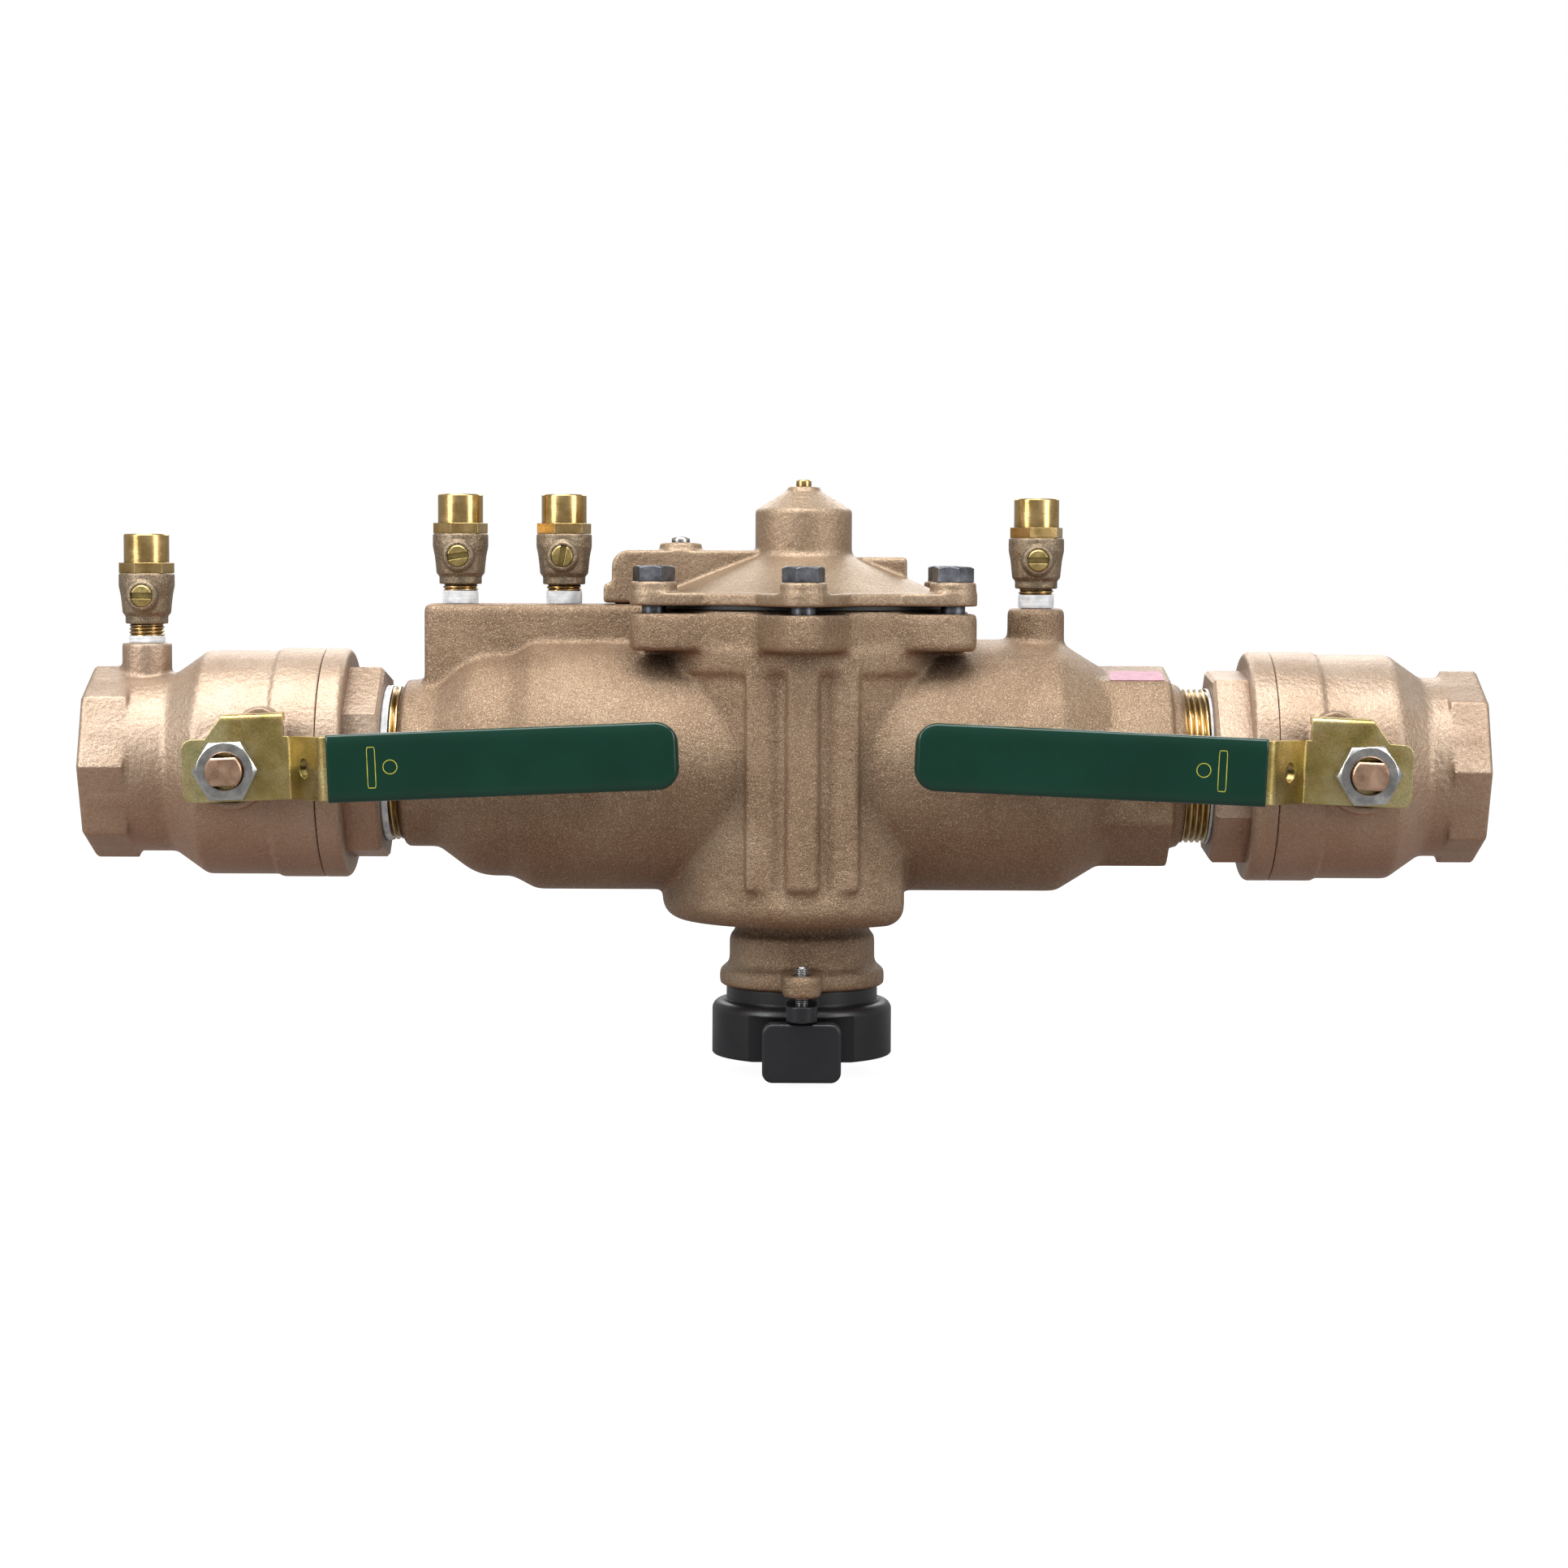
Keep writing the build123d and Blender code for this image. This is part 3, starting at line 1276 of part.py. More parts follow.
def thumbscrew(name, side):
    """Moulded wing knob and the machine screw fixed in it."""
    axis_at = Plane((cover_x, side * lug_forward, 0))
    with BuildPart() as knob:
        with BuildSketch(axis_at.offset(knob_top - knob_height)):
            Rectangle(knob_width, knob_thickness)
        extrude(amount=knob_height)
        fillet(knob.edges().filter_by(Axis.Y), 4.0)
        fillet(knob.faces().filter_by(Axis.Y).edges(), 1.2)
        with BuildSketch(axis_at.offset(knob_top - 12)):
            Circle(thumb_r + thread_fit)
        extrude(amount=13, mode=Mode.SUBTRACT)
    save(knob.part, name + "_thumb_knob")
    screw_top = skirt_bottom + 3.2
    run = thread_outline(relief_face - 4, screw_top - 0.6, thumb_r - 0.45, thumb_r, 0.8)
    outline = [(0, knob_top - 11.5), (thumb_r, knob_top - 11.5), (thumb_r, relief_face - 4)]
    outline += [(r, z) for z, r in run]
    outline += [(thumb_r - 0.8, screw_top), (0, screw_top)]
    with BuildPart() as screw:
        with BuildSketch(Plane((cover_x, side * lug_forward, 0), x_dir=(1, 0, 0), z_dir=(0, -1, 0))):
            with BuildLine():
                Polyline(*outline, close=True)
            make_face()
        revolve(axis=Axis((cover_x, side * lug_forward, 0), (0, 0, 1)))
    save(screw.part, name + "_thumb_screw")


thumbscrew("front", -1)
thumbscrew("rear", 1)


# ======== Joint tape ========

with BuildPart() as joint_tape:
    for face, way, width in ((cap_face_in, 1, 2.8), (cap_face_out, -1, 1.2)):
        with BuildSketch(Plane.YZ.offset(face)):
            Circle(tape_r)
            Circle(pipe_major_r + 0.02, mode=Mode.SUBTRACT)
        extrude(amount=way * width)
save(joint_tape.part, "joint_tape")


# ======== Test cocks ========

slot_angles = [0, 8, 80, 0]  # turn of each plug from closed, in degrees
tape_widths = [2.8, 5.0, 5.0, 5.2]
cocks = list(zip(cock_xs, boss_tops))
outlet_bottom = cock_gap + plug_height + cock_ball_r + 0.4
body_end = cock_gap + cock_body

with BuildPart() as cock_bodies:
    for cock_x, boss_top in cocks:
        upright = Plane((cock_x, 0, boss_top), x_dir=(1, 0, 0), z_dir=(0, -1, 0))
        threads = thread_outline(0, cock_gap - 0.8, cock_fit_r, cock_thread_r, cock_pitch)
        shank = [(0, -cock_thread_length), (cock_fit_r, -cock_thread_length)]
        shank += [(r, z) for z, r in threads]
        shank += [(cock_fit_r - 0.2, cock_gap + 1), (0, cock_gap + 1)]
        casting = [
            (0, cock_gap),
            (8.3, cock_gap),
            (8.3, cock_gap + 3),
            (9.4, cock_gap + 4.2),
            (10.1, cock_gap + plug_height),
            (10.85, cock_gap + cock_body - 5),
            (10.85, body_end),
            (0, body_end),
        ]
        with BuildSketch(upright):
            with BuildLine():
                Polyline(*shank, close=True)
            make_face()
        revolve(axis=Axis((cock_x, 0, 0), (0, 0, 1)))
        with BuildSketch(upright):
            with BuildLine():
                FilletPolyline(*casting, radius=[0.4, 0.6, 1.0, 4.0, 4.0, 0.8])
                Line(casting[-1], casting[0])
            make_face()
        revolve(axis=Axis((cock_x, 0, 0), (0, 0, 1)))
        with BuildSketch(upright):
            with Locations((0, cock_gap + plug_height)):
                Circle(plug_boss_r)
        extrude(amount=plug_reach - 0.5)
    boss_rims = cock_bodies.edges().filter_by(GeomType.CIRCLE).group_by(Axis.Y)[0]
    chamfer(boss_rims, 0.9)
    for cock_x, boss_top in cocks:
        upright = Plane((cock_x, 0, boss_top), x_dir=(1, 0, 0), z_dir=(0, -1, 0))
        with BuildSketch(Plane((cock_x, 0, boss_top - cock_thread_length - 1))):
            Circle(cock_bore_r)
        extrude(amount=cock_thread_length + cock_gap + cock_body, mode=Mode.SUBTRACT)
        with BuildSketch(upright):
            with Locations((0, cock_gap + plug_height)):
                Circle(plug_r + running_fit)
        extrude(amount=plug_reach + 1, mode=Mode.SUBTRACT)
        with BuildSketch(Plane((cock_x, 0, boss_top + cock_gap + plug_height))):
            Circle(cock_ball_r + open_gap)
        extrude(amount=cock_body, mode=Mode.SUBTRACT)
        with Locations((cock_x, 0, boss_top + cock_gap + plug_height)):
            Sphere(cock_ball_r + open_gap, mode=Mode.SUBTRACT)
        with BuildSketch(Plane((cock_x, 0, boss_top + outlet_bottom))):
            Circle(cock_spigot_r + thread_fit)
        extrude(amount=cock_body, mode=Mode.SUBTRACT)
save(cock_bodies.part, "test_cock_bodies")

with BuildPart() as cock_outlets:
    for cock_x, boss_top in cocks:
        with BuildSketch(Plane((cock_x, 0, boss_top + outlet_bottom))):
            Circle(cock_spigot_r)
        extrude(amount=body_end - outlet_bottom)
        with BuildSketch(Plane((cock_x, 0, boss_top + body_end))):
            RegularPolygon(cock_hex_flats / 2, 6, major_radius=False, rotation=14)
        extrude(amount=cock_hex)
        hex_top = boss_top + body_end + cock_hex
        top = hex_top + cock_barrel
        with BuildSketch(Plane((cock_x, 0, 0), x_dir=(1, 0, 0), z_dir=(0, -1, 0))):
            with BuildLine():
                Polyline(
                    (0, hex_top),
                    (cock_barrel_r, hex_top),
                    (cock_barrel_r, top - cock_rim),
                    (cock_barrel_r - cock_rim, top),
                    (0, top),
                    close=True,
                )
            make_face()
        revolve(axis=Axis((cock_x, 0, 0), (0, 0, 1)))
        with BuildSketch(Plane((cock_x, 0, top - cock_thread_length))):
            Circle(cock_fit_r)
        extrude(amount=cock_thread_length + 1, mode=Mode.SUBTRACT)
        with BuildSketch(Plane((cock_x, 0, boss_top + outlet_bottom - 1))):
            Circle(cock_bore_r)
        extrude(amount=20, mode=Mode.SUBTRACT)
save(cock_outlets.part, "test_cock_outlets")

with BuildPart() as cock_tapes:
    for (cock_x, boss_top), width in zip(cocks, tape_widths):
        with BuildSketch(Plane((cock_x, 0, boss_top))):
            Circle(cock_thread_r + 0.25)
            Circle(cock_thread_r + 0.02, mode=Mode.SUBTRACT)
        extrude(amount=width)
save(cock_tapes.part, "test_cock_tapes")

for number, ((cock_x, boss_top), slot_angle) in enumerate(zip(cocks, slot_angles), 1):
    turn = radians(slot_angle)
    plug_z = boss_top + cock_gap + plug_height
    plug_plane = Plane((cock_x, 0, plug_z), x_dir=(cos(turn), 0, sin(turn)), z_dir=(0, -1, 0))
    with BuildPart() as plug:
        with Locations((cock_x, 0, plug_z)):
            Sphere(cock_ball_r)
        with BuildSketch(plug_plane):
            Circle(plug_r)
        extrude(amount=plug_reach)
        chamfer(plug.faces().sort_by(Axis.Y)[0].edges(), 0.5)
        with BuildSketch(plug_plane.offset(plug_reach - slot_depth)):
            Rectangle(3 * plug_r, slot_width)
        extrude(amount=slot_depth + 1, mode=Mode.SUBTRACT)
        with BuildSketch(Plane((cock_x, 0, plug_z), x_dir=(0, 1, 0), z_dir=plug_plane.x_dir)):
            Circle(cock_bore_r)
        extrude(amount=2 * cock_ball_r, both=True, mode=Mode.SUBTRACT)
    save(plug.part, f"test_plug_{number}")
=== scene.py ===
import bmesh
import bpy
import json
import math
import numpy as np
from mathutils import Matrix, Vector

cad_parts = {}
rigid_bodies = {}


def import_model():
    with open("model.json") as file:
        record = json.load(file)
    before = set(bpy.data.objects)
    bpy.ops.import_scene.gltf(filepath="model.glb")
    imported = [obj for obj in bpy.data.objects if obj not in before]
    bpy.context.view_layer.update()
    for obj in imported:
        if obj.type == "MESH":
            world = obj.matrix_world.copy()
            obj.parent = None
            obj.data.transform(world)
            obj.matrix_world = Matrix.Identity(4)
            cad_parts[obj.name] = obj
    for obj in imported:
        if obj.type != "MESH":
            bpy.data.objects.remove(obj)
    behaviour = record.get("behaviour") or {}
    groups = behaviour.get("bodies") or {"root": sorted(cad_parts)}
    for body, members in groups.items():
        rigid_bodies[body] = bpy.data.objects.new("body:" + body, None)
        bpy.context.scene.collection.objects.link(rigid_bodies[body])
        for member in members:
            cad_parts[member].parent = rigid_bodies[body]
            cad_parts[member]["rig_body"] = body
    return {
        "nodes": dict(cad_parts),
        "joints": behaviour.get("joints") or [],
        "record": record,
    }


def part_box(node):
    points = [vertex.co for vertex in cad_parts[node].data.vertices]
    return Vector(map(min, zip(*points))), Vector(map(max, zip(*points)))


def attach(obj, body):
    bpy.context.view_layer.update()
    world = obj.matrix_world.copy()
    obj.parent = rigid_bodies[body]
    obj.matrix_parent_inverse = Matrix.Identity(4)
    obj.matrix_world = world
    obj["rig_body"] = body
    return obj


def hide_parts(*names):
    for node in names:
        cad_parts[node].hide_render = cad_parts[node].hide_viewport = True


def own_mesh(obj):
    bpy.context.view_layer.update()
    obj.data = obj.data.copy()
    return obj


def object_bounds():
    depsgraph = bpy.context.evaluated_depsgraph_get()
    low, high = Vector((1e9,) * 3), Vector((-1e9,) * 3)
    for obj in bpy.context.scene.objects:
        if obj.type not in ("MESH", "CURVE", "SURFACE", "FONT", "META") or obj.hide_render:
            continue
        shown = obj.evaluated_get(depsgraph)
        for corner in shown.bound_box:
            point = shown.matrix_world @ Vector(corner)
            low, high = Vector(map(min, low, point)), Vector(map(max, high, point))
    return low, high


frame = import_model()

cadLow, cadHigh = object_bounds()
mm = 0.001
nodes = frame["nodes"]
joints = {joint["name"]: joint for joint in frame["joints"]}
coverAxis = frame["record"]["mounts"][-1]["pos_m"][0]
pipeLine = ((0, 0, 0), (1, 0, 0), (0, 1, 0))  # a point, the direction, and where the angle is zero
mergeDistance = 0.002 * mm  # points nearer than this are one point
print("frame loaded:", len(nodes), "nodes")


def uprightLine(x, y=0.0, z=0.0):
    # a line straight up through a point, in the same three parts as pipeLine
    return (x, y, z), (0, 0, 1), (1, 0, 0)


def wholeTurn(count):
    # evenly spaced angles round one turn
    return np.arange(count) * 2 * np.pi / count


def gridFaces(rows, columns):
    # quads between neighbouring rows and columns, with the last column joined to the first
    row, column = np.meshgrid(np.arange(rows - 1), np.arange(columns), indexing="ij")
    after = (column + 1) % columns
    quads = np.stack([row * columns + column, row * columns + after,
                      (row + 1) * columns + after, (row + 1) * columns + column], axis=-1)
    return quads.reshape(-1, 4)


def closedEnds(rows):
    # a tube's rows with one more at each end, all of whose points are at the end row's middle
    caps = [np.repeat(rows[at].mean(axis=0)[None, None, :], rows.shape[1], axis=1) for at in (0, -1)]
    return np.concatenate([caps[0], rows, caps[1]])


def finishPiece(name, mesh, body, material, smooth=True, angle=None):
    # links the mesh as a piece that rides on a body and takes a material
    mesh.polygons.foreach_set("use_smooth", np.full(len(mesh.polygons), smooth))
    if angle:
        mesh.set_sharp_from_angle(angle=math.radians(angle))
    mesh.materials.clear()
    mesh.materials.append(material)
    piece = bpy.data.objects.new(name, mesh)
    bpy.context.scene.collection.objects.link(piece)
    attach(piece, body)
    return piece


def makePiece(name, points, faces, body, slotName, material, smooth=True, angle=None):
    # a mesh object at the origin from whole arrays, doubles merged and faces turned outwards
    mesh = bpy.data.meshes.new(name)
    mesh.from_pydata(points.reshape(-1, 3).tolist(), [], faces.tolist())
    shape = bmesh.new()
    shape.from_mesh(mesh)
    bmesh.ops.remove_doubles(shape, verts=shape.verts, dist=mergeDistance)
    bmesh.ops.recalc_face_normals(shape, faces=shape.faces)
    shape.to_mesh(mesh)
    shape.free()
    return finishPiece(name, mesh, body, material, smooth, angle)


def around(profile, line, count=96, relief=None):
    # turned surface: each profile point (along, radius) carried round the line by the angle;
    # relief, if given, is a function of (along, angle) added to the radius
    centre, axis, side = (np.asarray(part, float) for part in line)
    profile = np.asarray(profile, float)
    angle = wholeTurn(count)
    along = profile[:, 0][:, None] + 0 * angle
    radius = profile[:, 1][:, None] + 0 * angle
    if relief is not None:
        radius = radius + relief(along, angle[None, :])
    outward = np.cos(angle)[:, None] * side + np.sin(angle)[:, None] * np.cross(axis, side)
    return centre + along[..., None] * axis + radius[..., None] * outward, gridFaces(len(profile), count)


def joinGrids(grids):
    # stacks several (points, faces) grids into one pair
    allPoints, allFaces, start = [], [], 0
    for points, faces in grids:
        flat = points.reshape(-1, 3)
        allPoints.append(flat)
        allFaces.append(faces + start)
        start += len(flat)
    return np.concatenate(allPoints), np.concatenate(allFaces)


def newMaterial(name):
    # a material's node tree, its Principled shader and the object coordinates
    material = bpy.data.materials.new(name)
    material.use_nodes = True
    tree = material.node_tree
    place = tree.nodes.new("ShaderNodeTexCoord")
    return material, tree, tree.nodes["Principled BSDF"], place.outputs["Object"]


def feed(tree, value, socket):
    # links an output into a socket, or sets a number or a colour on it
    if isinstance(value, bpy.types.NodeSocket):
        tree.links.new(value, socket)
    elif isinstance(value, (int, float)):
        socket.default_value = value
    else:
        socket.default_value = (*value, 1)


def noiseAt(tree, source, scale, detail=3.0, rough=0.55, stretch=None):
    # noise on object coordinates, cells per metre; stretch scales the axes first
    noise = tree.nodes.new("ShaderNodeTexNoise")
    noise.inputs["Scale"].default_value = scale
    noise.inputs["Detail"].default_value = detail
    noise.inputs["Roughness"].default_value = rough
    if stretch:
        mapping = tree.nodes.new("ShaderNodeMapping")
        mapping.inputs["Scale"].default_value = stretch
        tree.links.new(source, mapping.inputs["Vector"])
        source = mapping.outputs["Vector"]
    tree.links.new(source, noise.inputs["Vector"])
    return noise.outputs["Fac"]


def cellsAt(tree, source, scale):
    # random cells on object coordinates
    cells = tree.nodes.new("ShaderNodeTexVoronoi")
    cells.inputs["Scale"].default_value = scale
    tree.links.new(source, cells.inputs["Vector"])
    return cells


def partsOf(tree, kind, source):
    # the separate channels of a colour, or coordinates of a vector
    parts = tree.nodes.new(kind)
    tree.links.new(source, parts.inputs[0])
    return parts.outputs


def mathOf(tree, operation, first, second=None):
    # one Math node of one or two values
    node = tree.nodes.new("ShaderNodeMath")
    node.operation = operation
    feed(tree, first, node.inputs[0])
    if second is not None:
        feed(tree, second, node.inputs[1])
    return node.outputs[0]


def rampOf(tree, source, stops):
    # colour ramp through (position, colour) stops
    ramp = tree.nodes.new("ShaderNodeValToRGB")
    ends = ramp.color_ramp.elements
    for element, (position, colour) in ((ends[0], stops[0]), (ends[1], stops[-1])):
        element.position = position
        element.color = (*colour, 1)
    for position, colour in stops[1:-1]:
        ends.new(position).color = (*colour, 1)
    tree.links.new(source, ramp.inputs["Fac"])
    return ramp.outputs["Color"]


def rangeOf(tree, source, low, high, fromLow=0.3, fromHigh=0.7):
    # maps a factor from one range to another
    span = tree.nodes.new("ShaderNodeMapRange")
    span.inputs["From Min"].default_value = fromLow
    span.inputs["From Max"].default_value = fromHigh
    span.inputs["To Min"].default_value = low
    span.inputs["To Max"].default_value = high
    tree.links.new(source, span.inputs["Value"])
    return span.outputs["Result"]


def mixColours(tree, factor, one, two):
    # mix of two colours, each a socket or a fixed colour
    mix = tree.nodes.new("ShaderNodeMix")
    mix.data_type = "RGBA"
    for value, socket in ((factor, mix.inputs[0]), (one, mix.inputs[6]), (two, mix.inputs[7])):
        feed(tree, value, socket)
    return mix.outputs[2]


def paintedHollowShade(tree, tone, deep, distance):
    # painted shade: mixes towards a deep tone where the surface around this point closes off the light
    hollow = tree.nodes.new("ShaderNodeAmbientOcclusion")
    hollow.samples = 6
    hollow.inputs["Distance"].default_value = distance
    shade = rangeOf(tree, hollow.outputs["AO"], 0.9, 0.0, fromLow=0.3, fromHigh=0.9)
    return mixColours(tree, shade, tone, deep)


def bumpChain(tree, shader, heights, bevel=0.0):
    # bumps stacked in order, each (height socket, strength, distance in metres)
    normal = None
    if bevel:
        rounded = tree.nodes.new("ShaderNodeBevel")
        rounded.samples = 6
        rounded.inputs["Radius"].default_value = bevel
        normal = rounded.outputs["Normal"]
    for height, strength, distance in heights:
        bump = tree.nodes.new("ShaderNodeBump")
        bump.inputs["Strength"].default_value = strength
        bump.inputs["Distance"].default_value = distance
        tree.links.new(height, bump.inputs["Height"])
        if normal is not None:
            tree.links.new(normal, bump.inputs["Normal"])
        normal = bump.outputs["Normal"]
    tree.links.new(normal, shader.inputs["Normal"])


def castMetal(name, look):
    # sand-cast bronze: grain bump, painted glints from small random cells, stains, painted shade in hollows
    # and on downward faces
    material, tree, shader, place = newMaterial(name)
    grain = noiseAt(tree, place, look["grain"], detail=4.0, rough=0.6)
    lumps = noiseAt(tree, place, look["grain"] / 5, detail=2.0, rough=0.5)
    stain = noiseAt(tree, place, look["stain"], detail=5.0, rough=0.6)
    cells = cellsAt(tree, place, look["grain"] * 1.6)
    split = partsOf(tree, "ShaderNodeSeparateColor", cells.outputs["Color"])
    tone = rampOf(tree, stain, [(0.3, look["dark"]), (0.52, look["middle"]), (0.72, look["light"])])
    speckle = rangeOf(tree, grain, 0.0, 1.0, fromLow=0.36, fromHigh=0.60)
    tone = mixColours(tree, speckle, mixColours(tree, look["pitDepth"], tone, look["deep"]), tone)
    # painted shade in hollows, towards the deep tone
    tone = paintedHollowShade(tree, tone, look["deep"], look["hollow"])
    # painted shade on downward faces: a darker, warmer tone mixed in the more the normal points down
    lift = tree.nodes.new("ShaderNodeNewGeometry")
    upward = partsOf(tree, "ShaderNodeSeparateXYZ", lift.outputs["Normal"])["Z"]
    under = rangeOf(tree, upward, look["underAmount"], 0.0, fromLow=-0.8, fromHigh=0.1)
    tone = mixColours(tree, under, tone, look["under"])
    # painted glints: a bright tone mixed into the colour where the random cells' red channel is high
    glint = rangeOf(tree, split["Red"], 0.0, look["glint"], fromLow=0.80, fromHigh=0.97)
    tone = mixColours(tree, glint, tone, look["spark"])
    tree.links.new(tone, shader.inputs["Base Color"])
    shader.inputs["Metallic"].default_value = look["metallic"]
    rough = rangeOf(tree, split["Green"], *look["rough"], fromLow=0.0, fromHigh=1.0)
    tree.links.new(rough, shader.inputs["Roughness"])
    bumpChain(tree, shader, [(lumps, 0.6, 0.6 * mm), (grain, look["bump"], 0.4 * mm)])
    return material


def turnedMetal(name, look):
    # machined metal: fine lines across the given axis, slight smears and rounded edges
    material, tree, shader, place = newMaterial(name)
    lines = noiseAt(tree, place, look["lines"], detail=2.0, rough=0.5, stretch=look["stretch"])
    smear = noiseAt(tree, place, look["smear"], detail=4.0, rough=0.6)
    tone = rampOf(tree, smear, [(0.3, look["dark"]), (0.7, look["light"])])
    tone = mixColours(tree, rangeOf(tree, lines, 0.0, 0.35), tone, look["dark"])
    # painted shade in crevices, towards a tone at 0.18 of the dark one
    tone = paintedHollowShade(tree, tone, [0.18 * part for part in look["dark"]], 2 * mm)
    tree.links.new(tone, shader.inputs["Base Color"])
    shader.inputs["Metallic"].default_value = 1.0
    tree.links.new(rangeOf(tree, smear, *look["rough"]), shader.inputs["Roughness"])
    bumpChain(tree, shader, [(lines, look["bump"], 0.08 * mm)], look.get("bevel", 0.3 * mm))
    return material


def chromateSteel(name, look):
    # yellow chromate: gold and olive clouds with a faint pink bloom over zinc
    material, tree, shader, place = newMaterial(name)
    clouds = noiseAt(tree, place, look["clouds"], detail=4.0)
    bloom = noiseAt(tree, place, look["bloom"], rough=0.6)
    grain = noiseAt(tree, place, look["grain"], rough=0.6)
    tone = rampOf(tree, clouds, [(0.28, look["olive"]), (0.45, look["gold"]), (0.6, look["pale"]),
                                 (0.74, look["green"])])
    blush = rangeOf(tree, bloom, 0.0, 0.5, fromLow=0.5, fromHigh=0.72)
    tree.links.new(mixColours(tree, blush, tone, look["pink"]), shader.inputs["Base Color"])
    shader.inputs["Metallic"].default_value = 1.0
    tree.links.new(rangeOf(tree, grain, *look["rough"]), shader.inputs["Roughness"])
    bumpChain(tree, shader, [(bloom, 0.15, 0.3 * mm), (grain, 0.25, 0.1 * mm)], look["bevel"])
    return material


def mouldedPlastic(name, look):
    # plastic, vinyl or rubber: base tone with faint clouds, fine texture and dust specks
    material, tree, shader, place = newMaterial(name)
    clouds = noiseAt(tree, place, look["clouds"], rough=0.5)
    texture = noiseAt(tree, place, look["texture"], rough=0.6)
    tone = rampOf(tree, clouds, [(0.3, look["dark"]), (0.7, look["light"])])
    if "dust" in look:
        cells = cellsAt(tree, place, look["dustCells"])
        speck = rangeOf(tree, cells.outputs["Distance"], look["dust"], 0.0, fromLow=0.05, fromHigh=0.11)
        patches = noiseAt(tree, place, look["dustPatches"], detail=1.0)
        rare = rangeOf(tree, patches, 0.0, 1.0, fromLow=0.60, fromHigh=0.66)
        tone = mixColours(tree, mathOf(tree, "MULTIPLY", speck, rare), tone, look["dustTone"])
    tree.links.new(tone, shader.inputs["Base Color"])
    tree.links.new(rangeOf(tree, texture, *look["rough"]), shader.inputs["Roughness"])
    shader.inputs["Specular IOR Level"].default_value = look.get("specular", 0.5)
    heights = [(clouds, 0.2, 0.4 * mm), (texture, look["bump"], 0.1 * mm)]
    bumpChain(tree, shader, heights, look.get("bevel", 0.4 * mm))
    return material


def stemFace(name, look):
    # turned bronze end: a sine of the distance from the nearer stem's axis makes fine rings
    material, tree, shader, place = newMaterial(name)
    smear = noiseAt(tree, place, look["smear"])
    tone = rampOf(tree, smear, [(0.3, look["dark"]), (0.7, look["light"])])
    inletStem, outletStem = (joints[side + "_handle_turn"]["pos_m"][0] for side in ("inlet", "outlet"))
    parts = partsOf(tree, "ShaderNodeSeparateXYZ", place)
    offset = mathOf(tree, "SUBTRACT", parts["X"], (inletStem + outletStem) / 2)
    folded = mathOf(tree, "ABSOLUTE", offset)
    fromStem = mathOf(tree, "SUBTRACT", folded, abs(outletStem - inletStem) / 2)
    flat = tree.nodes.new("ShaderNodeCombineXYZ")
    tree.links.new(fromStem, flat.inputs["X"])
    tree.links.new(parts["Z"], flat.inputs["Z"])
    length = tree.nodes.new("ShaderNodeVectorMath")
    length.operation = "LENGTH"
    tree.links.new(flat.outputs["Vector"], length.inputs[0])
    wave = mathOf(tree, "SINE", mathOf(tree, "MULTIPLY", length.outputs["Value"], look["rings"]))
    shine = rangeOf(tree, wave, 0.0, 0.5, fromLow=-1, fromHigh=1)
    tree.links.new(mixColours(tree, shine, tone, look["bright"]), shader.inputs["Base Color"])
    shader.inputs["Metallic"].default_value = 1.0
    tree.links.new(rangeOf(tree, smear, *look["rough"]), shader.inputs["Roughness"])
    bumpChain(tree, shader, [(wave, 0.25, 0.06 * mm)], look["bevel"])
    return material


bodyCastLook = {
    "grain": 2100, "stain": 32, "dark": (0.235, 0.155, 0.092), "middle": (0.335, 0.23, 0.145),
    "light": (0.43, 0.315, 0.21), "deep": (0.075, 0.043, 0.024), "under": (0.30, 0.125, 0.060),
    "underAmount": 0.6, "spark": (0.74, 0.58, 0.42), "glint": 0.5, "metallic": 0.62,
    "rough": (0.30, 0.58), "bump": 0.9, "pitDepth": 0.62, "hollow": 12 * mm,
}
valveCastLook = dict(
    bodyCastLook, grain=2600, stain=24, dark=(0.34, 0.235, 0.155), middle=(0.46, 0.34, 0.245),
    light=(0.56, 0.44, 0.34), deep=(0.16, 0.098, 0.060), under=(0.40, 0.165, 0.085),
    spark=(0.80, 0.68, 0.54), glint=0.3, rough=(0.32, 0.5), bump=0.35)
coverCastLook = dict(
    bodyCastLook, grain=2300, stain=30, dark=(0.29, 0.20, 0.125), middle=(0.39, 0.285, 0.19),
    light=(0.49, 0.37, 0.26), deep=(0.12, 0.075, 0.045), glint=0.35, bump=0.45)
cockCastLook = dict(
    bodyCastLook, grain=2300, stain=90, dark=(0.18, 0.135, 0.088), middle=(0.27, 0.21, 0.14),
    light=(0.38, 0.30, 0.21), deep=(0.10, 0.07, 0.045), underAmount=0.25, glint=0.5,
    metallic=0.75, bump=0.45)
castBody = castMetal("castBronzeBody", bodyCastLook)
castValve = castMetal("castBronzeValve", valveCastLook)
castCover = castMetal("castBronzeCover", coverCastLook)
castCock = castMetal("castBronzeCock", cockCastLook)
turnedBrass = turnedMetal("turnedBrass", {
    "lines": 900, "stretch": (0.15, 0.15, 3.0), "smear": 120, "dark": (0.50, 0.32, 0.11),
    "light": (0.80, 0.58, 0.27), "rough": (0.16, 0.34), "bump": 0.25})
threadBrass = turnedMetal("threadBrass", {
    "lines": 700, "stretch": (3.0, 0.2, 0.2), "smear": 60, "dark": (0.52, 0.35, 0.15),
    "light": (0.82, 0.63, 0.36), "rough": (0.18, 0.34), "bump": 0.2, "bevel": 0.0})
plugBrass = turnedMetal("plugBrass", {
    "lines": 900, "stretch": (1.0, 1.0, 1.0), "smear": 260, "dark": (0.42, 0.30, 0.10),
    "light": (0.72, 0.56, 0.24), "rough": (0.24, 0.42), "bump": 0.3})
